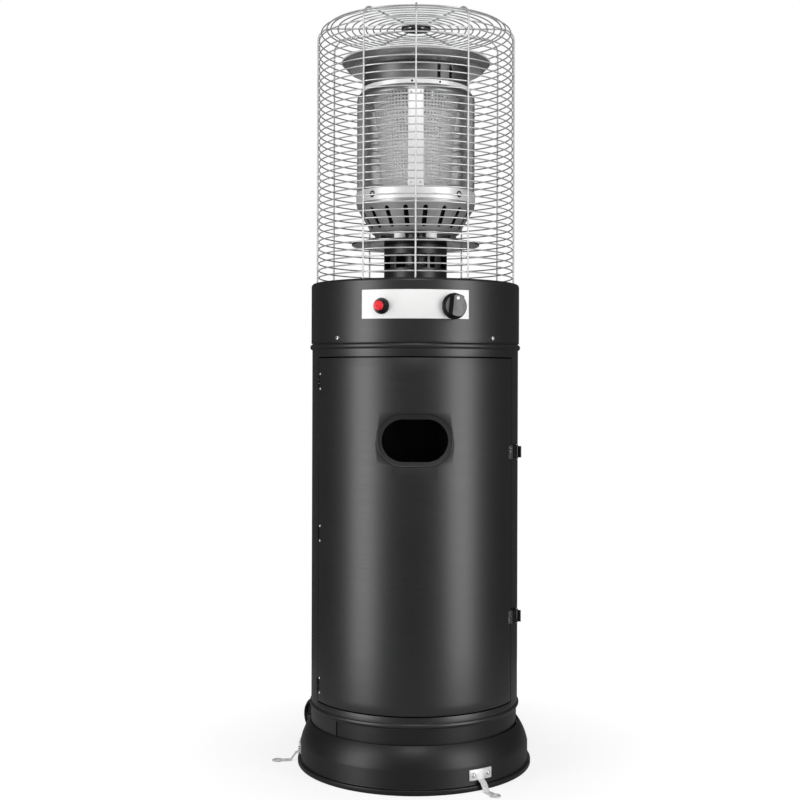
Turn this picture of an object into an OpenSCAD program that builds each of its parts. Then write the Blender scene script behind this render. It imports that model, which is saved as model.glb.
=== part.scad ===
// Gas patio heater: a bottle drum on a round base, a control housing on top of it,
// and a slotted burner with a round emitter inside a welded wire guard.
// Millimetres, +Z up, origin on the floor under the centre of the base, front facing -Y.
// Azimuths are degrees from the front, positive towards +X.

/* [Sheet metal] */
// Thickness of the painted steel sheet
sheet = 1.5; // [1:0.1:2]
// Gap left between fixed pieces that lie against each other
fit = 0.3; // [0.2:0.05:0.5]
// Gap left around pieces that move
run = 0.5; // [0.4:0.05:0.8]
// Radial gap around a pin in its hole
pin_gap = 0.05; // [0.03:0.01:0.1]

/* [Base] */
// Radius of the base's upright wall
base_wall_r = 213.5; // [208:0.5:222]
// How far the rolled rim stands out past the wall
base_lip = 5.5; // [4:0.5:8]
// Height of the rolled rim
base_rim_h = 10; // [8:1:12]
// Height at which the wall turns into the shoulder
base_wall_h = 41; // [40:1:48]
// Height of the base's top edge
base_h = 80; // [74:1:90]
// How far the shoulder bulges past a straight cone
shoulder_bulge = 2.4; // [1.4:0.2:4]
// Width of the flat foot that turns inwards under the wall
foot_w = 16; // [10:1:24]
// Width of the groove between the shoulder and the collar
groove_w = 3.5; // [2:0.5:5]
// Depth of that groove
groove_d = 6; // [4:1:9]

/* [Bottle tray] */
// Radius of the raised ring that keeps the bottle in its place
tray_ring_r = 158; // [130:1:172]
// Height of that ring
tray_ring_h = 6; // [4:1:10]
// Radius of each vent hole
tray_vent_r = 13; // [8:1:18]
// Number of vent holes
tray_vents = 6; // [4:1:8]

/* [Drum and door] */
// Outer radius of the drum
drum_r = 194; // [188:0.5:199]
// Height of the collar that shows under the drum
collar_show = 27; // [20:1:34]
// How far the collar reaches up inside the drum
collar_lap = 14; // [10:1:18]
// Height of the drum below the door
door_sill = 24; // [22:1:32]
// Height of the door
door_h = 625; // [580:5:680]
// Height of the drum above the door
door_head = 27; // [18:1:34]
// Azimuth of the door's two edges
door_a = 65; // [60:0.5:70]
// Width of the gap round the door
seam = 2.4; // [2:0.1:3]
// Depth of the door's turned-in edges
door_flange = 11; // [7:1:14]
// Radius of the rolled beads
bead_r = 5.5; // [5:0.5:7]
// How far the lower bead stands out
bead_low = 2.8; // [2:0.2:3.6]
// How far the upper bead stands out
bead_high = 4; // [3:0.2:4.6]
// Width of the oval port in the door
port_w = 116; // [100:1:130]
// Height of the oval port
port_h = 74; // [60:1:84]
// Width of the pressed rim round the port
port_rim = 10; // [6:0.5:14]
// Depth of that pressed rim
port_depth = 2.2; // [1.8:0.1:3.2]
// Height of the port's centre above the door's lower edge
port_z = 480; // [420:5:520]

/* [Hinges] */
// Radius of a hinge knuckle
knuckle_r = 2.6; // [2.2:0.1:3]
// Radius of a hinge pin
hinge_pin_r = 1.2; // [1:0.1:1.4]
// Length of the three knuckles together
knuckle_h = 20; // [16:1:22]
// Height of a hinge leaf
leaf_h = 40; // [36:1:48]
// Width of a hinge leaf
leaf_w = 16; // [13:1:22]
// Thickness of a hinge leaf
leaf_t = 1.2; // [1:0.1:1.6]
// Height between the two rivets of a hinge
rivet_pitch = 26.7; // [25:0.1:30]
// Distance of the rivets from the knuckle
rivet_in = 8; // [7:0.5:10]
// Radius of a rivet's head
rivet_r = 2.8; // [2.2:0.1:3.2]
// Height of the lowest hinge above the door's lower edge
hinge_low = 29; // [26:1:60]
// Depth of the highest hinge below the door's upper edge
hinge_high = 42; // [26:1:60]

/* [Latches] */
// Azimuth of the latch pivots past the door's edge
latch_past = 4.6; // [4.4:0.1:6]
// Height of a latch lever
lever_h = 21; // [18:1:26]
// Height of the pivot above the drum
pivot_out = 5.5; // [5:0.1:7]
// Radius of a lever's barrel
barrel_r = 3.2; // [2.8:0.1:3.6]
// Radius of a latch pin
latch_pin_r = 1.5; // [1.2:0.1:1.8]
// Length of a lever's wing from the pivot
wing_l = 9.5; // [7:0.5:12]
// Thickness of the wing and the nose
wing_t = 2.8; // [2.2:0.1:3.2]
// Height of the upper latch above the door's lower edge
latch_high = 455; // [400:5:540]
// Height of the lower latch above the door's lower edge
latch_low = 154; // [80:1:220]

/* [Control housing] */
// Height of the housing
housing_h = 111; // [100:1:125]
// Gap between the drum's upper bead and the housing
housing_gap = 2; // [1:0.5:4]
// How far the drum's neck reaches up into the housing
neck_lap = 16; // [14:1:20]
// Width of the housing's rolled top rim
rim_w = 7; // [6:0.5:9]
// Depth of the burner deck below the rim
deck_drop = 14; // [10:1:20]
// Half of the angle that the control fascia covers
fascia_a = 28.5; // [27:0.5:34]
// Height of the control fascia
fascia_h = 51; // [48:1:60]
// Height of the controls' centre above the housing's lower edge
control_z = 61; // [56:1:66]
// Radius of a housing screw's head
screw_head_r = 4.5; // [3.5:0.1:5.5]

/* [Controls] */
// Azimuth of the igniter
igniter_a = -17.4; // [-18:0.1:-12]
// Radius of the igniter's bezel
bezel_r = 14.4; // [12:0.1:15]
// Height of the bezel's collar
bezel_h = 13; // [6:0.5:13]
// Radius of the igniter's button
button_r = 11; // [8:0.1:11]
// How far the button stands out of its bezel
button_out = 10; // [8:0.5:12]
// Travel of the button
button_travel = 6; // [4:0.5:7]
// Azimuth of the gas knob
knob_a = 19.6; // [16:0.1:20]
// Radius of the knob's skirt
knob_r = 23; // [19:0.5:23]
// How far the knob stands out of the fascia
knob_h = 24; // [20:1:28]
// Travel of the knob when it is pushed
push_travel = 4; // [3:0.5:5]
// Radius of the valve stem
stem_r = 4; // [3.5:0.1:4.5]

/* [Burner] */
// Radius of the burner's windowed neck
neck_r = 59.4; // [56:0.2:64]
// Height of that neck
neck_h = 88; // [80:1:100]
// Height of the windows in the neck
window_h = 26; // [20:1:34]
// Number of windows in the neck
windows = 8; // [6:1:10]
// Radius of the heat shield disc
shield_r = 120.5; // [114:0.5:128]
// Radius of the ring that carries the burner bowl
ring_r = 77; // [72:0.5:80]
// Height of that ring
ring_h = 20; // [16:1:26]
// Radius of the bowl at its bottom
bowl_r = 82; // [81:0.5:88]
// Height of the bowl's cone
bowl_h = 50; // [44:1:60]
// Number of slots in the bowl
bowl_slots = 18; // [12:1:20]
// Width of a slot
slot_w = 8; // [6:0.5:9]
// Length of a slot
slot_l = 36; // [24:1:36]
// Radius of the main gas pipe
pipe_r = 4; // [3:0.5:5]

/* [Emitter and reflector] */
// Outer radius of the emitter
emitter_r = 111; // [106:0.5:116]
// Thickness of the emitter and of the parts above it
thin = 1.2; // [1:0.1:1.5]
// Height of the lower band round the emitter
band_h = 22; // [18:1:28]
// Height of the emitter above the band
emitter_h = 187; // [170:1:200]
// Radius of the emitter's rounded shoulder
emitter_round = 11; // [8:0.5:12]
// Height of the bright band on top of the emitter
cap_h = 8; // [6:0.5:11]
// Radius of the exhaust neck
exhaust_r = 99; // [95:0.5:99.5]
// Height of the exhaust neck
exhaust_h = 36; // [30:1:44]
// Radius of the flat of the top reflector
dish_r = 126; // [118:0.5:132]
// Radius of the reflector's rim
dish_rim_r = 140.6; // [136:0.2:148]
// Height of the reflector's flared edge
dish_h = 17; // [12:1:24]

/* [Wire guard] */
// Gap between the guard and the housing's rim
guard_gap = 1.8; // [1:0.1:3]
// Height of the guard above the reflector
guard_head = 66.5; // [50:0.5:70]
// Radius of the upright wires
upright_r = 1.6; // [1.4:0.05:2]
// Radius of the ring wires
wire_r = 1.25; // [1:0.05:1.5]
// Number of groups of three upright wires
upright_groups = 3; // [2:1:4]
// Angle between the wires of a group
upright_spread = 30; // [20:1:30]
// Pitch of the rings up the side
ring_pitch = 13.5; // [12:0.1:18]
// Pitch of the rings across the top
top_pitch = 13.3; // [12:0.1:18]
// Bend radius of the guard's shoulder
guard_bend = 23; // [18:0.5:30]
// Radius of the hub on top of the guard
hub_r = 28; // [24:0.5:32]

/* [Ground brackets] */
// Azimuth of the first ground bracket
bracket_a = 33; // [25:1:40]
// Number of ground brackets
brackets = 3; // [3:1:4]
// Width of a bracket's plate
bracket_w = 46; // [42:1:52]
// Height of a bracket's plate
bracket_h = 18.5; // [16:0.5:20]
// Thickness of a bracket
bracket_t = 2; // [1.6:0.1:2.6]
// Width of a bracket's leg
leg_w = 12; // [10:0.5:14]
// Reach of the eyelet's centre past the base's rim
eyelet_out = 38; // [32:1:46]
// Outer radius of the eyelet
eyelet_r = 10; // [9:0.5:12]
// Radius of the eyelet's hole
eyelet_hole_r = 4.5; // [3.5:0.1:5]

/* [Wheels] */
// Azimuth of the side on which the wheels sit
wheel_a = -143; // [-150:1:-120]
// Radius of a wheel
wheel_r = 35; // [30:1:40]
// Width of a wheel
wheel_w = 22; // [18:1:26]
// Distance of a wheel's middle from the middle of the axle
half_track = 60; // [54:1:66]
// Height of the wheels above the floor when the heater stands
wheel_lift = 4; // [3:0.5:8]
// Gap between a wheel and the base's wall
wheel_gap = 4; // [3:0.5:8]
// Radius of the axle
axle_r = 4; // [3:0.25:5]

/* [Hidden] */
$fn = 72;

black_paint = [0.13, 0.13, 0.14];
dark_plastic = [0.05, 0.05, 0.055];
zinc = [0.72, 0.73, 0.75];
chrome = [0.85, 0.86, 0.88];
stainless = [0.78, 0.78, 0.78];
bright_steel = [0.92, 0.92, 0.92];
brass = [0.72, 0.58, 0.3];
button_red = [0.85, 0.12, 0.15];
ceramic = [0.9, 0.88, 0.84];

// Heights of the stacked pieces
drum_z0 = base_h + collar_show;
door_z0 = drum_z0 + door_sill;
door_z1 = door_z0 + door_h;
drum_z1 = door_z1 + door_head;
housing_z0 = drum_z1 + housing_gap;
housing_z1 = housing_z0 + housing_h;
deck_z = housing_z1 - deck_drop;
control_mid_z = housing_z0 + control_z;
shield_z = deck_z + neck_h;
bowl_z = shield_z + sheet + ring_h;
band_z = bowl_z + bowl_h + 5;
seat_z = band_z + band_h / 2;
emitter_z1 = band_z + band_h + emitter_h;
exhaust_z1 = emitter_z1 + cap_h + exhaust_h;
dish_z1 = exhaust_z1 + dish_h;
guard_z1 = dish_z1 + guard_head;

// Radii that follow from the drum and the base
drum_in_r = drum_r - sheet;
collar_r = drum_in_r - fit;
rim_r = base_wall_r + base_lip;
base_top_r = collar_r + groove_w;
housing_r = drum_r + fit + sheet;
housing_in_r = housing_r - sheet;
rim_in_r = housing_r - rim_w;
guard_r = rim_in_r - guard_gap;
fascia_in_r = housing_r + fit / 2;
fascia_r = fascia_in_r + thin;

// Circle of the base's shoulder, through the wall's top and the base's top edge
shoulder_a = [base_wall_r, base_wall_h];
shoulder_b = [base_top_r, base_h];
shoulder_chord = norm(shoulder_b - shoulder_a);
shoulder_r = (pow(shoulder_chord / 2, 2) + pow(shoulder_bulge, 2)) / (2 * shoulder_bulge);
shoulder_normal = [base_h - base_wall_h, base_wall_r - base_top_r] / shoulder_chord;
shoulder_mid = (shoulder_a + shoulder_b) / 2 - shoulder_normal * (shoulder_r - shoulder_bulge);
core_r = base_top_r - 10;
ledge_z = base_h - groove_d;
ledge_r = shoulder_mid.x + sqrt(pow(shoulder_r, 2) - pow(ledge_z - shoulder_mid.y, 2)) - sheet / 2;

collar_z0 = ledge_z - 24;
skirt_z = ledge_z + fit;
collar_screw_z = base_h + collar_show * 0.52;

// Azimuths round the door
seam_a = seam / drum_r * 180 / PI;
opening_a = door_a + seam_a;
hinge_a = -(door_a + seam_a / 2);
latch_a = door_a + latch_past;
edge_a = sheet / drum_r * 180 / PI;
tab_from = -134;
tab_to = -46;
collar_screw_a = [44, 134, 224];
quarter_a = [45, 135, 225, 315];

// Hinge and latch places
hinge_z0 = door_z0 + hinge_low;
hinge_z1 = door_z1 - hinge_high;
hinge_z = [hinge_z0, (hinge_z0 + hinge_z1) / 2, hinge_z1];
leaf_r = drum_in_r - fit;
knuckle_end = knuckle_h / 2;
knuckle_mid = knuckle_h * 0.22;
knuckle_slit = 0.4;
tongue_skin = leaf_t / 8;
notch = knuckle_r + run;
latch_z = [door_z0 + latch_high, door_z0 + latch_low];
keeper_h = lever_h + 3;
keeper_t = 1.2;
keeper_w = 12;
nose_l = (latch_a - opening_a) / 180 * PI * drum_r - 0.3;
wing_lean = 78;
ear_t = 1.5;
pin_head = 1;

// Screw sizes
shank_r = 2;
small_shank_r = 1.6;
band_screw_r = 1.3;
bracket_screw_in = bracket_w / 2 - 8;
bracket_z1 = base_wall_h - 4;
bracket_z0 = bracket_z1 - bracket_h;
bracket_r0 = base_wall_r + fit / 2;
eyelet_at = rim_r + eyelet_out;

// Wheel places
wheel_in = half_track - wheel_w / 2;
wheel_out = half_track + wheel_w / 2;
ear_plate = 2.5;
axle_at = sqrt(pow(base_wall_r, 2) - pow(wheel_in, 2)) + wheel_r + wheel_gap;
axle_z = wheel_r + wheel_lift;
ear_far = wheel_out + run + ear_plate;
ear_r = 9;
ear_root = 26;
bracket_span = asin(ear_far / base_wall_r) + 1.5;

// Control sizes
igniter_barrel_r = button_r + 1.6;
igniter_barrel_l = 22;
button_stem_r = 3;
igniter_body_l = 46;
bush_r = stem_r + 5;
plunger_r = stem_r + 2.2;
valve_w = 42;
valve_d = 46;
valve_h = 38;
valve_front = housing_in_r - 6;
valve_back = valve_front - valve_d;
stem_in = 26;
knob_lift = push_travel + run;
nipple_r = 4;
nipple_l = 24;
nut_r = 9;
nut_h = 10;

// Burner places, in the frame turned to the gas knob
pipe_bend = 22;
jet_z = deck_z + 12;
jet_h = 16;
pilot_at = [12, -40];
couple_at = [-8, -40];
electrode_at = [22, -40];
electrode_r = 2.2;
pilot_r = 2.4;
couple_r = 1.5;
pilot_bend = 14;
pilot_z = bowl_z + 14;
pilot_port_z = control_mid_z + 10;
shield_hole_r = 47;
deck_hole_r = neck_r - 10;
venturi_r = 20;
venturi_z0 = jet_z + jet_h + 8;
venturi_z1 = bowl_z + 32;
head_r = 52;
cone_r0 = 44;
cone_r1 = 82;
cap_r = emitter_r - emitter_round + 3.5;

// Guard places
upright_at = guard_r - upright_r;
wire_in = upright_r + wire_r + 0.1;
side_at = upright_at - wire_in;
bend_z = guard_z1 - upright_r - guard_bend;
flat_at = upright_at - guard_bend;
foot_z = deck_z + upright_r + 0.1;
first_ring_z = deck_z + 13;
side_count = floor((bend_z - first_ring_z) / ring_pitch);
top_z = guard_z1 - upright_r - wire_in;
top_first = hub_r + top_pitch;
top_count = floor((flat_at - top_first) / top_pitch);
hub_h = 4;
clip_w = 12;
clip_t = 1.4;

module az(a) {
    rotate([0, 0, a]) children();
}

// Children stand on the place at azimuth a, radius r and height z, with their +Z pointing outwards
module radial(a, r, z) {
    az(a) translate([0, -r, z]) rotate([90, 0, 0]) children();
}

module tube(r0, r1, z0, z1) {
    rotate_extrude() translate([r0, z0]) square([r1 - r0, z1 - z0]);
}

// Curved plate between two radii, two heights and two azimuths
module band(r0, r1, z0, z1, a0, a1) {
    az(a0 - 90) rotate_extrude(angle = a1 - a0) translate([r0, z0]) square([r1 - r0, z1 - z0]);
}

// Ring of wire with an eight-sided section
module torus(at, r, z) {
    rotate_extrude() translate([at, z]) rotate(22.5) circle(r = r, $fn = 8);
}

module stadium(w, h) {
    square([w - h, h], center = true);
    for (s = [-1, 1]) translate([s * (w - h) / 2, 0]) circle(d = h);
}

// Oval prism through the front of the door, at the port
module port_cut(grow) {
    translate([0, -drum_r + 25, door_z0 + port_z]) rotate([90, 0, 0])
        linear_extrude(height = 50) stadium(port_w + 2 * grow, port_h + 2 * grow);
}

module screw(head_r, head_h, r, l) {
    cylinder(h = head_h * 0.55, r = head_r);
    translate([0, 0, head_h * 0.55]) cylinder(h = head_h * 0.45, r1 = head_r, r2 = head_r * 0.66);
    translate([0, 0, -l]) cylinder(h = l + 0.1, r = r);
}

// Outline of the base, grown inwards by an inset; the core fills the middle of the shoulder's circle
module base_profile(inset) {
    square([base_wall_r - inset, base_wall_h]);
    square([core_r, base_h]);
    intersection() {
        translate(shoulder_mid) circle(r = shoulder_r - inset, $fn = 180);
        square([base_wall_r - inset, base_h]);
    }
}

module rim_profile() {
    soft = base_lip * 0.42;
    polygon([
        [base_wall_r - sheet, 0], [rim_r - soft, 0], [rim_r, soft], [rim_r, base_rim_h - soft],
        [rim_r - soft, base_rim_h], [base_wall_r - sheet, base_rim_h]
    ]);
    translate([base_wall_r - foot_w, 0]) square([foot_w, sheet]);
}

module base_pan() {
    color(black_paint) difference() {
        rotate_extrude() {
            difference() {
                base_profile(0);
                base_profile(sheet);
            }
            rim_profile();
            translate([collar_r + fit / 2, ledge_z - sheet]) square([ledge_r - collar_r - fit / 2, sheet]);
        }
        for (i = [0 : brackets - 1], s = [-1, 1])
            bracket_place(i, s) translate([0, 0, -10]) cylinder(h = 20, r = shank_r + pin_gap);
    }
}

module bottle_tray() {
    tray_r = base_wall_r - sheet - fit;
    ring_foot = 7;
    ring_crest = 3;
    color(black_paint) difference() {
        union() {
            tube(0, tray_r, sheet, 2 * sheet);
            rotate_extrude() polygon([
                [tray_ring_r - ring_foot, 1.5 * sheet], [tray_ring_r + ring_foot, 1.5 * sheet],
                [tray_ring_r + ring_crest, 2 * sheet + tray_ring_h],
                [tray_ring_r - ring_crest, 2 * sheet + tray_ring_h]
            ]);
        }
        for (i = [0 : tray_vents - 1]) az(i * 360 / tray_vents + 30)
            translate([0, -tray_ring_r / 2, -1]) cylinder(h = 10, r = tray_vent_r);
    }
}

module base_collar() {
    color(black_paint) difference() {
        tube(collar_r - sheet, collar_r, collar_z0, drum_z0 + collar_lap);
        for (a = collar_screw_a) radial(a, collar_r, collar_screw_z)
            translate([0, 0, -5]) cylinder(h = 10, r = small_shank_r + pin_gap);
    }
}

module collar_screws() {
    color(dark_plastic) for (a = collar_screw_a)
        radial(a, collar_r + fit / 2, collar_screw_z) screw(2.6, 1.6, small_shank_r, 6);
}

// Place of a bracket's screw s on the base's wall
module bracket_place(i, s) {
    turn = s * bracket_screw_in / base_wall_r * 180 / PI;
    mid_z = (bracket_z0 + bracket_z1) / 2;
    radial(bracket_a + i * 360 / brackets + turn, bracket_r0 + bracket_t + 0.1, mid_z) children();
}

module bracket_leg() {
    knee = rim_r + 3;
    bend = base_rim_h + 4;
    toe = rim_r + 13;
    root = bracket_r0 + bracket_t * 0.25;
    skin = bracket_r0 + bracket_t * 0.85;
    rotate([90, 0, 90]) linear_extrude(height = leg_w, center = true) polygon([
        [-root, bracket_z0 + 3], [-root, bracket_z0 - 0.5], [-knee, bend], [-toe, 0],
        [-eyelet_at, 0], [-eyelet_at, bracket_t], [-toe - 1, bracket_t], [-knee - 2, bend + 1],
        [-skin, bracket_z0 + 0.5], [-skin, bracket_z0 + 3]
    ]);
}

module ground_bracket() {
    half = bracket_w / 2 / base_wall_r * 180 / PI;
    difference() {
        union() {
            band(bracket_r0, bracket_r0 + bracket_t, bracket_z0, bracket_z1, -half, half);
            bracket_leg();
            translate([0, -eyelet_at, 0]) cylinder(h = bracket_t, r = eyelet_r);
        }
        translate([0, -eyelet_at, -1]) cylinder(h = bracket_t + 2, r = eyelet_hole_r);
    }
}

module ground_brackets() {
    color(chrome) difference() {
        for (i = [0 : brackets - 1]) az(bracket_a + i * 360 / brackets) ground_bracket();
        for (i = [0 : brackets - 1], s = [-1, 1])
            bracket_place(i, s) translate([0, 0, -10]) cylinder(h = 20, r = shank_r + pin_gap);
    }
}

module bracket_screws() {
    color(chrome) for (i = [0 : brackets - 1], s = [-1, 1])
        bracket_place(i, s) screw(3.8, 2.6, shank_r, 8);
}

module ear(x, l) {
    translate([x, -axle_at, axle_z - ear_r]) cube([l, axle_at - base_wall_r + ear_root, 2 * ear_r]);
    translate([x, -axle_at, axle_z]) rotate([0, 90, 0]) cylinder(h = l, r = ear_r);
}

module wheel_bracket() {
    color(black_paint) difference() {
        az(wheel_a) union() {
            band(base_wall_r, base_wall_r + ear_plate, base_rim_h + 6, base_wall_h - 1,
                -bracket_span, bracket_span);
            for (s = [-1, 1]) {
                ear(s * (wheel_in - run - ear_plate / 2) - ear_plate / 2, ear_plate);
                ear(s * (wheel_out + run + ear_plate / 2) - ear_plate / 2, ear_plate);
            }
        }
        translate([0, 0, -1]) cylinder(h = base_h + 20, r = base_wall_r + fit / 2);
        axle_rod(ear_far + 5, axle_r + pin_gap);
    }
}

module axle_rod(half, r) {
    az(wheel_a) translate([-half, -axle_at, axle_z]) rotate([0, 90, 0]) cylinder(h = 2 * half, r = r);
}

module wheel_axle() {
    color(zinc) axle_rod(ear_far + 6, axle_r);
}

module axle_caps() {
    cap_l = 8;
    color(dark_plastic) az(wheel_a) for (s = [-1, 1])
        translate([s * (ear_far + 0.2), -axle_at, axle_z]) rotate([0, s * 90, 0]) difference() {
            rotate_extrude() polygon([
                [0, 0], [axle_r + 3, 0], [axle_r + 3, cap_l - 3], [axle_r, cap_l], [0, cap_l]
            ]);
            translate([0, 0, -1]) cylinder(h = 7, r = axle_r + pin_gap);
        }
}

module wheel(side) {
    half = wheel_w / 2;
    web = 3.5;
    dish = wheel_r - 7;
    soft = 4;
    hub = axle_r + 6;
    bore = axle_r + 2 * pin_gap;
    az(wheel_a) translate([side * half_track, -axle_at, axle_z]) rotate([0, 90, 0])
        rotate_extrude() polygon([
            [bore, -half], [hub, -half], [hub, -web], [dish, -web], [dish, -half],
            [wheel_r - soft, -half], [wheel_r, -half + soft], [wheel_r, half - soft], [wheel_r - soft, half],
            [dish, half], [dish, web], [hub, web], [hub, half], [bore, half]
        ]);
}

module wheel_left() {
    color(dark_plastic) wheel(1);
}

module wheel_right() {
    color(dark_plastic) wheel(-1);
}

module bead(out, z) {
    intersection() {
        translate([drum_r + out - bead_r, z]) circle(r = bead_r);
        translate([drum_in_r, z - bead_r]) square([bead_r * 2, bead_r * 2]);
    }
}

// Room for the knuckles in the door's seam
module hinge_notches() {
    for (z = hinge_z) az(hinge_a)
        translate([-notch, -drum_r - 8, z - knuckle_end - run]) cube([2 * notch, 16, knuckle_h + 2 * run]);
}

module drum_shell() {
    color(black_paint) difference() {
        rotate_extrude() {
            translate([drum_in_r, skirt_z]) square([sheet, drum_z1 + neck_lap - skirt_z]);
            bead(bead_low, drum_z0 + bead_r + 1);
            bead(bead_high, drum_z1 - bead_r);
        }
        band(drum_in_r - 5, drum_r + 5, skirt_z - 5, drum_z0, tab_to, tab_from + 360);
        band(drum_in_r - 5, drum_r + 5, door_z0 - seam, door_z1 + seam, -opening_a, opening_a);
        hinge_notches();
        for (a = quarter_a) radial(a, drum_r, housing_z0 + screw_head_r + 2)
            translate([0, 0, -5]) cylinder(h = 10, r = shank_r + pin_gap);
    }
}

module door_panel() {
    flange_r = drum_r - door_flange;
    flange_to = door_a - 9;
    root_r = drum_r - sheet / 2;
    fold = sheet * 0.2;
    side_a = door_a - edge_a * 1.2;
    color(black_paint) difference() {
        union() {
            difference() {
                union() {
                    band(drum_in_r, drum_r, door_z0, door_z1, -door_a, door_a);
                    for (z = [door_z0 + fold, door_z1 - fold - sheet])
                        band(flange_r, root_r, z, z + sheet, -flange_to, side_a + edge_a / 2);
                    band(flange_r + fold, root_r, door_z0 + 2 * fold, door_z1 - 2 * fold,
                        side_a, side_a + edge_a);
                }
                port_cut(port_rim);
            }
            intersection() {
                band(drum_in_r - port_depth, drum_r - port_depth, door_z0, door_z1,
                    -door_a + 5, door_a - 5);
                port_cut(port_rim);
            }
            intersection() {
                band(drum_in_r - port_depth, drum_r, door_z0, door_z1, -door_a + 5, door_a - 5);
                difference() {
                    port_cut(port_rim + sheet / 2);
                    port_cut(port_rim - sheet / 2);
                }
            }
        }
        port_cut(0);
        hinge_notches();
        rivet_holes(small_shank_r + pin_gap);
    }
}

// Places of the hinge rivets, on the door's outer face
module rivet_places() {
    turn = rivet_in / drum_r * 180 / PI;
    for (z = hinge_z, s = [-1, 1]) radial(hinge_a + turn, drum_r, z + s * rivet_pitch / 2) children();
}

module rivet_holes(r) {
    rivet_places() translate([0, 0, -10]) cylinder(h = 20, r = r);
}

module hinge_rivets() {
    grip = sheet + fit + leaf_t + 1;
    color(zinc) rivet_places() translate([0, 0, 0.1]) screw(rivet_r, 1.6, small_shank_r, grip);
}

module knuckle(z, h) {
    az(hinge_a) translate([0, -drum_r, z]) cylinder(h = h, r = knuckle_r);
}

// Strip of a leaf between two distances from the knuckle, towards side s, thinned by skin all round
module leaf_strip(s, from, to, z, h, skin = 0) {
    deg = 180 / PI / drum_r;
    lo = hinge_a + (s > 0 ? from : -to) * deg;
    band(leaf_r - leaf_t + skin, leaf_r - skin, z + skin, z + h - skin, lo, lo + (to - from) * deg);
}

module pin_holes() {
    for (z = hinge_z) az(hinge_a)
        translate([0, -drum_r, z - leaf_h]) cylinder(h = 2 * leaf_h, r = hinge_pin_r + pin_gap);
}

module hinge_leaves_door() {
    color(zinc) difference() {
        for (z = hinge_z) union() {
            leaf_strip(1, notch + 0.4, leaf_w, z - leaf_h / 2, leaf_h);
            leaf_strip(1, 0, notch + 1, z - knuckle_mid, 2 * knuckle_mid, tongue_skin);
            knuckle(z - knuckle_mid, 2 * knuckle_mid);
        }
        pin_holes();
        rivet_holes(small_shank_r + pin_gap);
    }
}

module hinge_leaves_drum() {
    end_h = knuckle_end - knuckle_mid - knuckle_slit;
    color(zinc) difference() {
        for (z = hinge_z) union() {
            leaf_strip(-1, notch + 0.4, leaf_w, z - leaf_h / 2, leaf_h);
            for (k = [z - knuckle_end, z + knuckle_mid + knuckle_slit]) {
                leaf_strip(-1, 0, notch + 1, k, end_h, tongue_skin);
                knuckle(k, end_h);
            }
        }
        pin_holes();
    }
}

module hinge_pins() {
    color(zinc) for (z = hinge_z) az(hinge_a) translate([0, -drum_r, z - knuckle_end])
        cylinder(h = knuckle_h, r = hinge_pin_r);
}

module latch_keepers() {
    deg = 180 / PI / drum_r;
    to = door_a - 1.2 * deg;
    r0 = drum_r + fit / 2;
    color(chrome) for (z = latch_z) {
        band(r0, r0 + keeper_t, z - keeper_h / 2, z + keeper_h / 2, to - keeper_w * deg, to);
        band(r0, r0 + 3 * keeper_t, z - keeper_h / 2, z + keeper_h / 2, to - 2 * keeper_t * deg, to);
    }
}

module latch_axis(z) {
    az(latch_a) translate([0, -drum_r - pivot_out, z]) children();
}

module latch_bases() {
    deg = 180 / PI / drum_r;
    half = lever_h / 2 + run;
    color(dark_plastic) difference() {
        for (z = latch_z) union() {
            band(drum_r + fit / 2, drum_r + fit / 2 + keeper_t, z - half - ear_t, z + half + ear_t,
                latch_a - 7 * deg, latch_a + 12 * deg);
            for (s = [-1, 1]) latch_axis(z + s * (half + ear_t / 2)) {
                translate([-barrel_r, 0, -ear_t / 2]) cube([2 * barrel_r, pivot_out - fit, ear_t]);
                translate([0, 0, -ear_t / 2]) cylinder(h = ear_t, r = barrel_r);
            }
        }
        for (z = latch_z) latch_axis(z - lever_h) cylinder(h = 2 * lever_h, r = latch_pin_r + pin_gap);
    }
}

module latch_pins() {
    half = lever_h / 2 + run + ear_t + pin_head;
    color(zinc) for (z = latch_z) latch_axis(z - half) cylinder(h = 2 * half, r = latch_pin_r);
}

// Side view of a lever: the nose lies over the seam, the wing stands out as the finger grip
module lever_profile() {
    nose_y = pivot_out - fit / 2 - keeper_t - run - wing_t;
    circle(r = barrel_r);
    translate([-nose_l, nose_y]) square([nose_l, wing_t]);
    rotate(wing_lean) {
        translate([-wing_l + wing_t / 2, -wing_t / 2]) square([wing_l - wing_t / 2, wing_t]);
        translate([-wing_l + wing_t / 2, 0]) circle(r = wing_t / 2);
    }
}

module latch_lever(z) {
    latch_axis(z) translate([0, 0, -lever_h / 2]) difference() {
        linear_extrude(height = lever_h) lever_profile();
        translate([0, 0, -1]) cylinder(h = lever_h + 2, r = latch_pin_r + pin_gap);
    }
}

module latch_lever_upper() {
    color(dark_plastic) latch_lever(latch_z[0]);
}

module latch_lever_lower() {
    color(dark_plastic) latch_lever(latch_z[1]);
}

module housing_profile(inset) {
    soft = rim_w - sheet;
    translate([0, housing_z0 - inset]) square([housing_r - inset, housing_h - soft + inset]);
    translate([0, housing_z0]) square([housing_r - soft, housing_h - inset]);
    translate([housing_r - soft, housing_z1 - soft]) circle(r = soft - inset);
}

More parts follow.
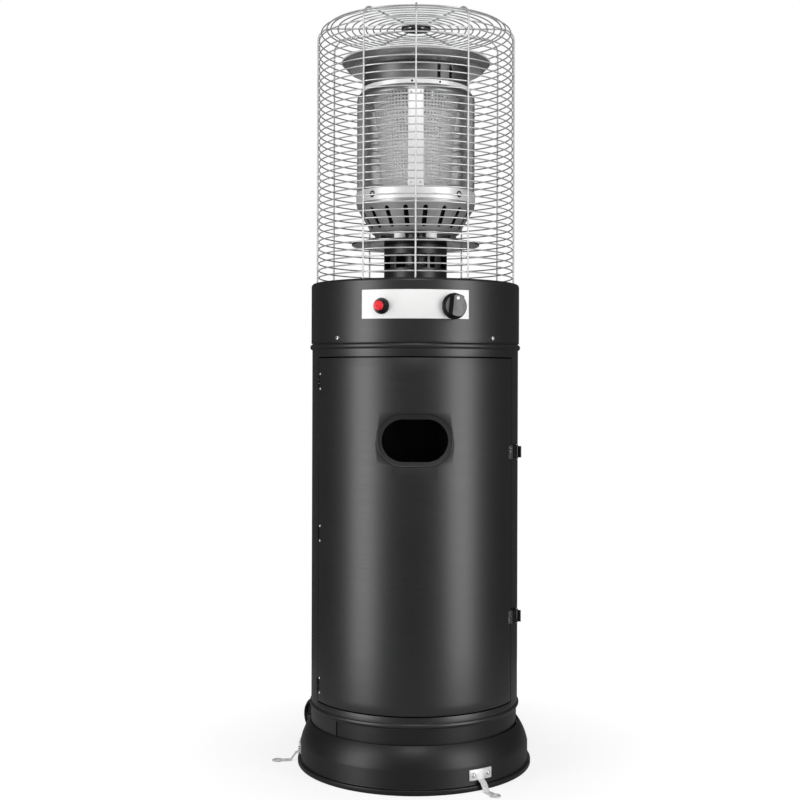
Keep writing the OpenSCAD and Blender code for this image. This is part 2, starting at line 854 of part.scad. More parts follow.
module control_housing() {
    color(black_paint) difference() {
        rotate_extrude() {
            difference() {
                housing_profile(0);
                housing_profile(sheet);
                translate([0, housing_z0 - 1]) square([rim_in_r, housing_h + 2]);
            }
            translate([rim_in_r, deck_z - 2 * sheet]) square([sheet, deck_drop + 2 * sheet]);
            translate([rim_in_r - 5, deck_z - 2 * sheet]) square([5 + sheet, sheet]);
        }
        radial(igniter_a, housing_r, control_mid_z)
            translate([0, 0, -12]) cylinder(h = 24, r = igniter_barrel_r + fit);
        radial(knob_a, housing_r, control_mid_z) translate([0, 0, -12]) cylinder(h = 24, r = bush_r + fit);
        for (a = quarter_a) radial(a, housing_r, housing_z0 + screw_head_r + 2)
            translate([0, 0, -5]) cylinder(h = 10, r = shank_r + pin_gap);
    }
}

module housing_screws() {
    color(zinc) for (a = quarter_a) radial(a, housing_r + 0.1, housing_z0 + screw_head_r + 2)
        screw(screw_head_r, 2.8, shank_r, 2 * sheet + fit + 3);
}

module burner_deck() {
    vents = 16;
    color(black_paint) difference() {
        tube(deck_hole_r, rim_in_r - fit, deck_z - sheet, deck_z);
        for (i = [0 : vents - 1]) az(i * 360 / vents)
            translate([0, -(neck_r + rim_in_r) / 2, deck_z - 5]) cylinder(h = 10, r = 6);
    }
}

module control_fascia() {
    fascia_z0 = control_mid_z - fascia_h * 0.43;
    color(bright_steel) difference() {
        band(fascia_in_r, fascia_r, fascia_z0, fascia_z0 + fascia_h, -fascia_a, fascia_a);
        radial(igniter_a, housing_r, control_mid_z)
            translate([0, 0, -12]) cylinder(h = 24, r = igniter_barrel_r + fit);
        radial(knob_a, housing_r, control_mid_z) translate([0, 0, -12]) cylinder(h = 24, r = bush_r + fit);
    }
}

// Frame of the igniter: +Z outwards, zero where its flange meets the fascia's crown
module igniter_axis() {
    radial(igniter_a, fascia_r + 0.1, control_mid_z) children();
}

module igniter_bezel() {
    color(dark_plastic) igniter_axis() rotate_extrude() polygon([
        [button_r + 0.4, -igniter_barrel_l], [igniter_barrel_r, -igniter_barrel_l], [igniter_barrel_r, 0],
        [bezel_r, 0], [bezel_r, 2.5], [bezel_r - 1.5, 4], [bezel_r - 1.5, bezel_h - 1],
        [bezel_r - 2.5, bezel_h], [button_r + 0.4, bezel_h]
    ]);
}

module igniter_nut() {
    nut_half = igniter_barrel_r + 4;
    behind = fascia_r + fit - sqrt(pow(housing_in_r, 2) - pow(nut_half, 2));
    color(dark_plastic) igniter_axis() translate([0, 0, -behind - 6]) difference() {
        cylinder(h = 6, r = nut_half, $fn = 6);
        translate([0, 0, -1]) cylinder(h = 8, r = igniter_barrel_r + pin_gap);
    }
}

module igniter_button() {
    color(button_red) igniter_axis() rotate_extrude() polygon([
        [0, -igniter_barrel_l - 4], [button_stem_r, -igniter_barrel_l - 4], [button_stem_r, -5],
        [button_r, -5], [button_r, bezel_h + button_out - 1.5], [button_r - 1.5, bezel_h + button_out],
        [0, bezel_h + button_out]
    ]);
}

module igniter_body() {
    top = -igniter_barrel_l - fit;
    color(dark_plastic) igniter_axis() difference() {
        rotate_extrude() polygon([
            [0, top - igniter_body_l], [5, top - igniter_body_l], [8, top - igniter_body_l + 10],
            [igniter_barrel_r - 1, top - 8], [igniter_barrel_r - 1, top], [0, top]
        ]);
        translate([0, 0, top - 4 - button_travel - run]) cylinder(h = 20, r = button_stem_r + pin_gap);
    }
}

// Frame of the gas knob: +Z outwards, zero on the fascia's crown
module knob_axis() {
    radial(knob_a, fascia_r, control_mid_z) children();
}

module control_knob() {
    skirt_h = 7;
    face = knob_h * 0.58;
    bar_w = 10;
    bar_lean = -6;
    socket_h = knob_h - 5;
    color(dark_plastic) knob_axis() difference() {
        union() {
            rotate_extrude() polygon([
                [0, knob_lift], [knob_r, knob_lift], [knob_r, knob_lift + 2], [knob_r - 2, skirt_h + 2],
                [knob_r - 3.5, face], [0, face]
            ]);
            rotate(bar_lean) intersection() {
                translate([-bar_w / 2, -knob_r, knob_lift + 1])
                    cube([bar_w, 2 * knob_r, knob_h - knob_lift - 1]);
                rotate_extrude() polygon([
                    [0, 0], [knob_r - 1, 0], [knob_r - 1, skirt_h], [knob_r - 3.5, knob_h - 1.5],
                    [knob_r - 5, knob_h], [0, knob_h]
                ]);
            }
        }
        cylinder(h = socket_h, r = stem_r + pin_gap);
        translate([0, 0, -1]) cylinder(h = knob_lift + 5, r = bush_r + run);
    }
}

module valve_stem() {
    stem_z1 = knob_h - 5 - pin_gap;
    color(zinc) knob_axis() translate([0, 0, -stem_in]) cylinder(h = stem_in + stem_z1, r = stem_r);
}

module valve_plunger() {
    color(brass) knob_axis() translate([0, 0, -stem_in]) difference() {
        cylinder(h = 14, r = plunger_r);
        translate([0, 0, -1]) cylinder(h = 16, r = stem_r + pin_gap);
    }
}

module gas_valve() {
    in_z = fascia_r - valve_front;
    deep = stem_in + push_travel + run;
    color(zinc) difference() {
        union() {
            az(knob_a) translate([-valve_w / 2, -valve_front, control_mid_z - valve_h / 2])
                cube([valve_w, valve_d, valve_h]);
            knob_axis() translate([0, 0, -in_z - 1]) cylinder(h = in_z + 1, r = bush_r);
        }
        knob_axis() translate([0, 0, -deep]) cylinder(h = deep - 5, r = plunger_r + pin_gap);
        knob_axis() translate([0, 0, -6]) cylinder(h = 20, r = stem_r + pin_gap);
    }
}

module gas_inlet_nipple() {
    color(brass) az(knob_a) translate([0, -(valve_front + valve_back) / 2, control_mid_z - valve_h / 2]) {
        translate([0, 0, -nut_h]) cylinder(h = nut_h, r = nut_r, $fn = 6);
        translate([0, 0, -nut_h - nipple_l]) cylinder(h = nipple_l + 1, r = nipple_r);
    }
}

// Pipe that runs inwards from the valve at height z, turns up at the place at, and ends at height top
module rising_pipe(at, r, bend, z, top) {
    az(knob_a) translate([at.x, 0, 0]) {
        translate([0, -valve_back, z]) rotate([-90, 0, 0]) cylinder(h = valve_back + at.y - bend, r = r);
        translate([0, at.y - bend, z + bend]) rotate([0, 90, 0])
            rotate_extrude(angle = 90) translate([bend, 0]) circle(r = r, $fn = 24);
        translate([0, at.y, z + bend]) cylinder(h = top - z - bend, r = r);
    }
}

module main_gas_pipe() {
    color(brass) rising_pipe([0, 0], pipe_r, pipe_bend, control_mid_z - 8, jet_z);
}

module pilot_gas_pipe() {
    color(zinc) rising_pipe(pilot_at, pilot_r, pilot_bend, pilot_port_z, pilot_z);
}

module thermocouple() {
    color(brass) rising_pipe(couple_at, couple_r, pilot_bend, pilot_port_z, pilot_z + 16);
}

module pilot_burner() {
    plate_z = pilot_z - 6;
    color(zinc) az(knob_a) difference() {
        union() {
            translate([pilot_at.x, pilot_at.y, plate_z]) cylinder(h = 18, r = 5);
            translate([couple_at.x - 5, pilot_at.y - 5, plate_z])
                cube([pilot_at.x - couple_at.x + 20, 10, 2]);
        }
        translate([pilot_at.x, pilot_at.y, plate_z - 1]) cylinder(h = 7, r = pilot_r + pin_gap);
        translate([pilot_at.x, pilot_at.y, plate_z + 8]) cylinder(h = 20, r = 3.4);
        translate([couple_at.x, couple_at.y, plate_z - 1]) cylinder(h = 20, r = couple_r + pin_gap);
        translate([electrode_at.x, electrode_at.y, plate_z - 1]) cylinder(h = 20, r = electrode_r + pin_gap);
    }
}

module ignition_electrode() {
    color(ceramic) az(knob_a) translate([electrode_at.x, electrode_at.y, pilot_z - 14]) {
        cylinder(h = 22, r = electrode_r);
        translate([0, 0, 22]) cylinder(h = 8, r = 0.9);
    }
}

module tilt_switch() {
    box = [28, 20, 34];
    lug = 8;
    color(dark_plastic) az(-60) translate([-box.x / 2, -deck_hole_r - 70, deck_z - sheet - 0.1 - box.z]) {
        cube(box);
        translate([-lug, box.y / 2 - 2, box.z - 2]) cube([box.x + 2 * lug, 4, 2]);
    }
}

module burner_jet() {
    color(brass) translate([0, 0, jet_z]) {
        cylinder(h = 9, r = 8, $fn = 6);
        translate([0, 0, 8.5]) cylinder(h = jet_h - 8.5, r1 = 5, r2 = 2.2);
    }
}

module burner_venturi() {
    color(stainless) rotate_extrude() polygon([
        [venturi_r + 4, venturi_z0], [venturi_r + 5.5, venturi_z0], [venturi_r, venturi_z0 + 16],
        [venturi_r, bowl_z + sheet], [venturi_r + 10, bowl_z + sheet], [venturi_r + 10, bowl_z + 2 * sheet],
        [venturi_r, bowl_z + 2 * sheet], [venturi_r, venturi_z1], [venturi_r - sheet, venturi_z1],
        [venturi_r - sheet, venturi_z0 + 16]
    ]);
}

module burner_head() {
    ports = 24;
    color(stainless) difference() {
        rotate_extrude() polygon([
            [venturi_r - 5, venturi_z1], [head_r - 6, venturi_z1], [head_r, venturi_z1 + 6],
            [head_r, venturi_z1 + 16], [head_r - 8, venturi_z1 + 20], [0, venturi_z1 + 20],
            [0, venturi_z1 + 18], [head_r - 9, venturi_z1 + 18], [head_r - 2, venturi_z1 + 15],
            [head_r - 2, venturi_z1 + 7], [head_r - 7, venturi_z1 + 2], [venturi_r - 5, venturi_z1 + 2]
        ]);
        for (i = [0 : ports - 1])
            radial(i * 360 / ports, head_r - 6, venturi_z1 + 11) cylinder(h = 12, r = 2.2);
    }
}

module burner_neck() {
    mid = deck_z + neck_h * 0.64;
    wide = 360 / windows * 0.68;
    color(black_paint) difference() {
        rotate_extrude() {
            translate([neck_r - sheet, deck_z]) square([sheet, neck_h]);
            translate([neck_r - sheet, deck_z]) square([12, sheet]);
            translate([neck_r - 9, deck_z + neck_h - sheet]) square([9, sheet]);
        }
        for (i = [0 : windows - 1]) {
            mid_a = (i + 0.5) * 360 / windows;
            band(neck_r - 6, neck_r + 6, mid - window_h / 2, mid + window_h / 2,
                mid_a - wide / 2, mid_a + wide / 2);
        }
    }
}

module heat_shield_disc() {
    color(stainless) rotate_extrude() polygon([
        [shield_hole_r, shield_z], [shield_r, shield_z], [shield_r, shield_z + 3.5],
        [shield_r - sheet, shield_z + 3.5], [shield_r - sheet, shield_z + sheet],
        [shield_hole_r, shield_z + sheet]
    ]);
}

module burner_base_ring() {
    gaps = 8;
    z0 = shield_z + sheet;
    color(stainless) difference() {
        rotate_extrude() {
            translate([ring_r - sheet, z0]) square([sheet, ring_h]);
            translate([ring_r - 8, z0]) square([8, sheet]);
            translate([ring_r - 8, z0 + ring_h - sheet]) square([8, sheet]);
        }
        for (i = [0 : gaps - 1])
            band(ring_r - 4, ring_r + 4, z0 + 5, z0 + ring_h - 5, i * 360 / gaps - 14, i * 360 / gaps + 14);
    }
}

module bowl_slot(a) {
    radial(a, bowl_r - 14, bowl_z + bowl_h / 2)
        linear_extrude(height = 60) rotate(90) stadium(slot_l, slot_w);
}

module burner_bowl() {
    wall = sheet * 1.12;
    color(stainless) difference() {
        rotate_extrude() polygon([
            [venturi_r + fit, bowl_z], [bowl_r, bowl_z], [emitter_r, bowl_z + bowl_h],
            [emitter_r, seat_z], [emitter_r - sheet, seat_z], [emitter_r - sheet, bowl_z + bowl_h],
            [bowl_r - wall, bowl_z + sheet], [venturi_r + fit, bowl_z + sheet]
        ]);
        for (i = [0 : bowl_slots - 1]) bowl_slot((i + 0.5) * 360 / bowl_slots);
        az(knob_a) for (p = [[pilot_at, pilot_r], [couple_at, couple_r], [electrode_at, electrode_r]])
            translate([p[0].x, p[0].y, bowl_z - 1]) cylinder(h = 5, r = p[1] + fit);
    }
}

module emitter_lower_band() {
    color(bright_steel) difference() {
        tube(emitter_r + fit / 2, emitter_r + fit / 2 + thin, band_z, band_z + band_h);
        for (a = quarter_a) radial(a, emitter_r, seat_z)
            translate([0, 0, -5]) cylinder(h = 10, r = band_screw_r + pin_gap);
    }
}

module band_screws() {
    color(zinc) for (a = quarter_a) radial(a, emitter_r + fit / 2 + thin + 0.1, seat_z)
        screw(4.2, 2.4, band_screw_r, thin);
}

module emitter_profile(inset) {
    straight = emitter_z1 - emitter_round - seat_z;
    translate([0, seat_z + 0.1]) square([emitter_r - inset, straight - 0.1]);
    translate([0, seat_z + 0.1]) square([emitter_r - emitter_round, emitter_z1 - seat_z - inset - 0.1]);
    translate([emitter_r - emitter_round, emitter_z1 - emitter_round]) circle(r = emitter_round - inset);
}

module emitter_screen() {
    color(stainless) rotate_extrude() difference() {
        emitter_profile(0);
        emitter_profile(thin);
        square([emitter_r - emitter_round - 5, emitter_z1 + 1]);
        translate([0, seat_z - 1]) square([emitter_r - thin, 2]);
    }
}

module flame_cone() {
    z0 = band_z + band_h;
    color(stainless) rotate_extrude() polygon([
        [cone_r0, z0], [cone_r0 + thin, z0], [cone_r1 + thin, emitter_z1 - 1], [cone_r1 + thin, emitter_z1],
        [cone_r1, emitter_z1], [cone_r1, emitter_z1 - 1]
    ]);
}

module emitter_top_band() {
    color(bright_steel) rotate_extrude() {
        translate([cone_r1 - 4, emitter_z1 + 0.1]) square([cap_r - cone_r1 + 4, thin]);
        translate([cap_r - thin, emitter_z1 + 0.1]) square([thin, cap_h - 0.1]);
    }
}

module exhaust_neck() {
    z0 = emitter_z1 + 0.1 + thin;
    slit = exhaust_h * 0.66;
    color(stainless) difference() {
        tube(exhaust_r - thin, exhaust_r, z0, exhaust_z1);
        for (i = [0 : 2], a = [25, 40]) radial(a + i * 120, exhaust_r, exhaust_z1 - exhaust_h / 2)
            translate([-2.5, -slit / 2, -4]) cube([5, slit, 8]);
    }
}

module top_reflector() {
    color(stainless) rotate_extrude() polygon([
        [0, exhaust_z1], [dish_r, exhaust_z1], [dish_rim_r, dish_z1 - 2], [dish_rim_r, dish_z1],
        [dish_rim_r - 2, dish_z1], [dish_r - 1, exhaust_z1 + thin], [0, exhaust_z1 + thin]
    ]);
}

module guard_side_rings() {
    color(zinc) {
        torus(side_at, upright_r, foot_z);
        for (i = [0 : side_count]) torus(side_at, wire_r, first_ring_z + i * ring_pitch);
    }
}

module guard_top_rings() {
    inner_bend = guard_bend - wire_in;
    color(zinc) {
        for (a = [36, 72]) torus(flat_at + inner_bend * cos(a), wire_r, bend_z + inner_bend * sin(a));
        for (i = [0 : top_count]) torus(top_first + i * top_pitch, wire_r, top_z);
    }
}

module guard_upright(a) {
    az(a) {
        translate([0, -upright_at, deck_z + 0.2]) cylinder(h = bend_z - deck_z - 0.2, r = upright_r);
        translate([0, -flat_at, bend_z]) rotate([90, 0, -90])
            rotate_extrude(angle = 90) translate([guard_bend, 0]) circle(r = upright_r, $fn = 24);
        translate([0, -flat_at, guard_z1 - upright_r]) rotate([-90, 0, 0])
            cylinder(h = flat_at - hub_r - 0.1, r = upright_r);
    }
}

module guard_uprights() {
    color(zinc) for (i = [0 : upright_groups - 1], s = [-1 : 1])
        guard_upright(i * 360 / upright_groups + s * upright_spread);
}

module guard_hub() {
    z0 = guard_z1 - upright_r - hub_h / 2;
    color(dark_plastic) {
        tube(hub_r - 7, hub_r, z0, z0 + hub_h);
        for (a = [0, 90]) az(a) translate([-3, -hub_r + 1, z0]) cube([6, 2 * hub_r - 2, hub_h - 1]);
        translate([0, 0, z0 - 1]) cylinder(h = hub_h + 1, r = 10);
    }
}

module guard_clips() {
    over = foot_z + upright_r + 0.1;
    behind = 2 * upright_r + fit;
    low = deck_z + 0.05;
    color(zinc) for (i = [0 : upright_groups - 1]) az((i + 0.5) * 360 / upright_groups)
        translate([-clip_w / 2, -side_at - upright_r, 0]) {
            translate([0, 0, over]) cube([clip_w, 2 * upright_r + 3, clip_t]);
            translate([0, behind, low]) cube([clip_w, clip_t, over - deck_z + clip_t / 2]);
            translate([0, behind, low]) cube([clip_w, 10 * clip_t, clip_t]);
        }
}

base_pan();
bottle_tray();
base_collar();
collar_screws();
ground_brackets();
bracket_screws();
wheel_bracket();
wheel_axle();
axle_caps();
wheel_left();
wheel_right();
drum_shell();
door_panel();
hinge_leaves_drum();
hinge_leaves_door();
hinge_pins();
hinge_rivets();
latch_keepers();
latch_bases();
latch_pins();
latch_lever_upper();
latch_lever_lower();
control_housing();
housing_screws();
burner_deck();
control_fascia();
igniter_bezel();
igniter_nut();
igniter_button();
igniter_body();
control_knob();
valve_stem();
valve_plunger();
gas_valve();
gas_inlet_nipple();
main_gas_pipe();
pilot_gas_pipe();
thermocouple();
pilot_burner();
ignition_electrode();
tilt_switch();
burner_jet();
burner_venturi();
burner_head();
burner_neck();
heat_shield_disc();
burner_base_ring();
burner_bowl();
emitter_lower_band();
band_screws();
emitter_screen();
flame_cone();
emitter_top_band();
exhaust_neck();
top_reflector();
guard_side_rings();
guard_top_rings();
guard_uprights();
guard_hub();
guard_clips();
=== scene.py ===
# %% [markdown]
# # A gas patio heater
# The heater is a black steel drum on a round base. A door in the drum hides the gas bottle, and a housing with
# a bright fascia carries the controls. Above it a burner stands behind a fine steel mesh, inside a wire guard.
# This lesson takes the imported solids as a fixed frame, models the pieces that show, and gives each a finish.

# %% Load the frame
import math

import bpy
from mathutils import Matrix, Vector


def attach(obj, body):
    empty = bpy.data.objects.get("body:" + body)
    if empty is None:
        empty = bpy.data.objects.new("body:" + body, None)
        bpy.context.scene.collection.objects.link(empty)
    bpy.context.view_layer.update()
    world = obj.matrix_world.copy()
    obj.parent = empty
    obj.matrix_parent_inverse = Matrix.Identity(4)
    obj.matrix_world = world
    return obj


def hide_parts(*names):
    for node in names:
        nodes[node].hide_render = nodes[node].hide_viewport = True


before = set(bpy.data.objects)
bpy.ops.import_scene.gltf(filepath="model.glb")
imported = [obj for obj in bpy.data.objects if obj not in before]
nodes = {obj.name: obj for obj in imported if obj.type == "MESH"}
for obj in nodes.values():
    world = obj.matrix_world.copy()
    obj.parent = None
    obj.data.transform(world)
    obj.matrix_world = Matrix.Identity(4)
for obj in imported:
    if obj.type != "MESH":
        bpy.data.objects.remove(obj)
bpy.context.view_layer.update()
MM = 0.001
DOUBLES = MM / 500  # vertices closer than this are merged
print("loaded", len(nodes), "nodes")

# %% [markdown]
# ## The camera
# The photograph was taken from straight ahead at about half of the heater's height, so upright edges stay
# upright. A level camera with a small shift gives that picture without tilting, and a slight roll completes it.

# %% Camera
bpy.ops.object.camera_add(location=(0.0, -2.3966, 0.717),
                          rotation=(math.radians(90), math.radians(-0.175), 0.0))
camera = bpy.context.object
camera.name = "photo_camera"
camera.data.sensor_width = 36.0
camera.data.lens = 56.97
camera.data.shift_x = -0.0189
camera.data.shift_y = -0.025
bpy.context.scene.camera = camera
print("lens", camera.data.lens)

# %% [markdown]
# ## Helpers for modelling
# Most of the heater is round sheet metal, so the main tool is a turned piece: an outline is drawn point by point
# with extrude, and spun round the heater's axis. Sizes are in millimetres, as in a workshop drawing, and an
# azimuth is counted from the front, positive to the right.

# %% Selecting, drawing and spinning
def deselect():
    if bpy.context.mode != "OBJECT":
        bpy.ops.object.mode_set(mode="OBJECT")
    bpy.ops.object.select_all(action="DESELECT")


def only(piece):
    deselect()
    piece.select_set(True)
    bpy.context.view_layer.objects.active = piece


def open_mesh(piece):
    only(piece)
    bpy.ops.object.mode_set(mode="EDIT")
    bpy.ops.mesh.select_all(action="SELECT")


def at(azimuth, radius, height):
    turn = math.radians(azimuth)
    return Vector((radius * math.sin(turn), -radius * math.cos(turn), height)) * MM


def arc(across, up, radius, first, last, count):
    """Points of an arc in an outline, from one angle to another."""
    angles = [math.radians(first + (last - first) * i / count) for i in range(count + 1)]
    return [(across + radius * math.cos(a), up + radius * math.sin(a)) for a in angles]


def sides(middles, half):
    """Both edges of each of a row of openings."""
    return [middle + s * half for middle in middles for s in (-1, 1)]


def beside(azimuth, middle, pitch=360.0):
    """How far an azimuth lies from a middle, or from the nearest of many at an even pitch."""
    return abs((azimuth - middle + pitch / 2) % pitch - pitch / 2)


def drawn(name, points):
    """A chain of edges through the points, made by extruding one vertex."""
    deselect()
    bpy.ops.mesh.primitive_plane_add(size=MM)
    piece = bpy.context.object
    piece.name = piece.data.name = name
    bpy.ops.object.mode_set(mode="EDIT")
    bpy.ops.mesh.select_all(action="SELECT")
    bpy.ops.mesh.merge(type="CENTER")
    bpy.ops.transform.translate(value=points[0])
    for before, after in zip(points, points[1:]):
        bpy.ops.mesh.extrude_region_move(TRANSFORM_OT_translate={"value": after - before})
    bpy.ops.mesh.select_all(action="SELECT")
    return piece


def smooth(piece, angle=32):
    only(piece)
    bpy.ops.object.shade_smooth_by_angle(angle=math.radians(angle))
    return piece


def clean():
    """Merge doubles and turn the faces of the open mesh outwards."""
    bpy.ops.mesh.select_all(action="SELECT")
    bpy.ops.mesh.remove_doubles(threshold=DOUBLES)
    bpy.ops.mesh.normals_make_consistent(inside=False)


def face_out(piece):
    """Turn the faces of a thin skin away from the heater's axis."""
    if sum(f.area * f.normal.dot(Vector((f.center.x, f.center.y, 0.0))) for f in piece.data.polygons) < 0:
        open_mesh(piece)
        bpy.ops.mesh.flip_normals()
        bpy.ops.object.mode_set(mode="OBJECT")


def spun(name, points, steps, angle, center, axis):
    """Draw a chain of edges and spin it round an axis."""
    piece = drawn(name, points)
    bpy.ops.mesh.remove_doubles(threshold=DOUBLES)
    bpy.ops.mesh.spin(steps=steps, angle=angle, center=center, axis=axis)
    clean()
    bpy.ops.object.mode_set(mode="OBJECT")
    return piece


def turned(name, outline, steps=144, first=0.0, sweep=360.0, closed=True):
    """Spin an outline of (radius, height) pairs round the heater's axis."""
    if closed:
        outline = outline + outline[:1]
    points = [at(first, r, z) for r, z in outline]
    piece = spun(name, points, steps, -math.radians(sweep), (0, 0, 0), (0, 0, 1))
    if not closed:
        face_out(piece)
    return smooth(piece)


# %% Modifiers, cutting and placing
def modify(piece, kind, **settings):
    only(piece)
    bpy.ops.object.modifier_add(type=kind)
    modifier = piece.modifiers[-1]
    for key, value in settings.items():
        setattr(modifier, key, value)
    bpy.ops.object.modifier_apply(modifier=modifier.name)
    return piece


def thicken(piece, wall, side=-1.0):
    return modify(piece, "SOLIDIFY", thickness=wall * MM, offset=side, use_even_offset=True)


def round_edges(piece, width, segments=2):
    modify(piece, "BEVEL", width=width * MM, segments=segments, limit_method="ANGLE",
           angle_limit=math.radians(40), use_clamp_overlap=True)
    return smooth(piece)


def cut(piece, cutter):
    modify(piece, "BOOLEAN", object=cutter, operation="DIFFERENCE", solver="EXACT")
    bpy.data.objects.remove(cutter, do_unlink=True)
    return piece


def slice_at(piece, azimuths=(), heights=()):
    """Add edges on planes through the axis and on level planes."""
    open_mesh(piece)
    for azimuth in azimuths:
        turn = math.radians(azimuth)
        bpy.ops.mesh.select_all(action="SELECT")
        bpy.ops.mesh.bisect(plane_co=(0, 0, 0), plane_no=(math.cos(turn), math.sin(turn), 0))
    for height in heights:
        bpy.ops.mesh.select_all(action="SELECT")
        bpy.ops.mesh.bisect(plane_co=(0, 0, height * MM), plane_no=(0, 0, 1))
    bpy.ops.object.mode_set(mode="OBJECT")
    return piece


def remove_faces(piece, wanted):
    """Delete the faces whose middle (azimuth, height) the test picks."""
    only(piece)
    for face in piece.data.polygons:
        x, y, z = face.center / MM
        face.select = bool(wanted(math.degrees(math.atan2(x, -y)), z))
    bpy.ops.object.mode_set(mode="EDIT")
    bpy.ops.mesh.select_mode(type="FACE")
    bpy.ops.mesh.delete(type="FACE")
    bpy.ops.mesh.select_mode(type="VERT")
    bpy.ops.object.mode_set(mode="OBJECT")
    return piece


def joined(name, pieces):
    deselect()
    for piece in pieces:
        piece.select_set(True)
    bpy.context.view_layer.objects.active = pieces[0]
    bpy.ops.object.join()
    pieces[0].name = pieces[0].data.name = name
    return pieces[0]


def outward(azimuth, radius, height):
    """Frame of a piece on the heater's side: its own z points outwards, its y points up."""
    turn = math.radians(azimuth)
    frame_matrix = Matrix((
        (math.cos(turn), 0.0, math.sin(turn), 0.0),
        (math.sin(turn), 0.0, -math.cos(turn), 0.0),
        (0.0, 1.0, 0.0, 0.0),
        (0.0, 0.0, 0.0, 1.0),
    ))
    frame_matrix.translation = at(azimuth, radius, height)
    return frame_matrix


def settled():
    """The piece that was just added or moved, with its transform applied."""
    bpy.ops.object.transform_apply(location=True, rotation=True, scale=True)
    return bpy.context.object


def place(piece, matrix):
    piece.matrix_world = matrix
    only(piece)
    return settled()


def copies(name, piece, matrices):
    """Place one copy with its own mesh at each matrix, and join them."""
    made = []
    for matrix in matrices:
        only(piece)
        bpy.ops.object.duplicate(linked=False)
        made.append(place(bpy.context.object, matrix))
    bpy.data.objects.remove(piece, do_unlink=True)
    return joined(name, made)


def fit(piece, body, slot, finish, *replaced):
    """Give a piece its finish and its body, and let it stand for CAD nodes."""
    if finish:
        piece.data.materials.clear()
        piece.data.materials.append(finish)
    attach(piece, body)
    if replaced:
        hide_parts(*replaced)
    print(piece.name, len(piece.data.polygons), "faces")
    return piece


def fit_softened(name, edge, body, slot, finish):
    """Fit a copy of a solid that is right as it is, with merged triangles and rounded edges."""
    piece = bpy.data.objects.new(name + "_soft", nodes[name].data.copy())
    piece.data.materials.clear()
    bpy.context.scene.collection.objects.link(piece)
    open_mesh(piece)
    bpy.ops.mesh.remove_doubles(threshold=MM / 200)
    bpy.ops.mesh.dissolve_limited(angle_limit=math.radians(0.6))
    bpy.ops.object.mode_set(mode="OBJECT")
    round_edges(piece, edge)
    # On a copied solid the first smoothing leaves some edges soft, and a second marks them sharp.
    return fit(smooth(piece), body, slot, finish, name)


# %% [markdown]
# ## Finishes
# Every finish is built from nodes on Object coordinates, so that it stays on its piece in every pose. Rolled and
# turned sheet shows fine lines that run round the axis: noise on the radius and the height, and hardly any along
# the angle, draws them.

# %% Node helpers
NOISE_LOW, NOISE_HIGH = 0.3, 0.7  # most of a noise lies between these


def grey(tone):
    return (tone, tone, tone)


def new_finish(name):
    finish = bpy.data.materials.new(name)
    finish.use_nodes = True
    return finish, finish.node_tree, finish.node_tree.nodes["Principled BSDF"]


def node(tree, kind, inputs=None, **settings):
    made = tree.nodes.new(kind)
    for key, value in settings.items():
        setattr(made, key, value)
    for key, value in (inputs or {}).items():
        if isinstance(value, bpy.types.NodeSocket):
            tree.links.new(value, made.inputs[key])
        else:
            made.inputs[key].default_value = value
    return made


def reckon(tree, operation, *values):
    """The result of a maths node."""
    return node(tree, "ShaderNodeMath", dict(enumerate(values)), operation=operation).outputs["Value"]


def object_place(tree):
    return node(tree, "ShaderNodeTexCoord").outputs["Object"]


def noise(tree, vector, scale, detail):
    inputs = {"Vector": vector, "Scale": scale, "Detail": detail}
    return node(tree, "ShaderNodeTexNoise", inputs).outputs["Fac"]


def grain(tree, scale, detail=3.0):
    """Noise on Object coordinates."""
    return noise(tree, object_place(tree), scale, detail)


def axis_distance(tree):
    """The distance from the heater's axis, and the separate coordinates."""
    parts = node(tree, "ShaderNodeSeparateXYZ", {"Vector": object_place(tree)}).outputs
    flat = node(tree, "ShaderNodeCombineXYZ", {"X": parts["X"], "Y": parts["Y"]}).outputs["Vector"]
    return node(tree, "ShaderNodeVectorMath", {0: flat}, operation="LENGTH").outputs["Value"], parts


def ring_lines(tree, density):
    """Fine lines that run round the heater's axis."""
    radius, parts = axis_distance(tree)
    angle = reckon(tree, "ARCTAN2", parts["X"], parts["Y"])
    slow = reckon(tree, "MULTIPLY", angle, 2.0 / density)
    lines = node(tree, "ShaderNodeCombineXYZ", {"X": radius, "Y": parts["Z"], "Z": slow})
    return noise(tree, lines.outputs["Vector"], density, 2.0)


def spread(tree, value, low, high, first=NOISE_LOW, last=NOISE_HIGH):
    """Map a span of a value, or else the middle of a noise, to a range."""
    inputs = {"Value": value, "From Min": first, "From Max": last, "To Min": low, "To Max": high}
    return node(tree, "ShaderNodeMapRange", inputs).outputs["Result"]


def ramped(tree, value, stops):
    """Map a value to colours through (place, colour) stops."""
    ramp = node(tree, "ShaderNodeValToRGB", {"Fac": value})
    elements = ramp.color_ramp.elements
    while len(elements) < len(stops):
        elements.new(0.5)
    for element, (where, _) in zip(elements, stops):
        element.position = where
    for element, (_, colour) in zip(elements, stops):
        element.color = (*colour, 1.0)
    return ramp.outputs["Color"]


def tint(tree, value, dark, light):
    """Map the middle of a noise to two colours."""
    return ramped(tree, value, ((NOISE_LOW, dark), (NOISE_HIGH, light)))


def bump(tree, shader, height, strength, distance):
    made = node(tree, "ShaderNodeBump", {"Height": height, "Strength": strength, "Distance": distance})
    tree.links.new(made.outputs["Normal"], shader.inputs["Normal"])


# %% [markdown]
# ### Paint and plastic
# The drum is coated in satin black with a fine texture, and the sheet under it was brushed round the drum, so the
# gloss has faint level lines. Plastic parts have the fine grain of a mould.

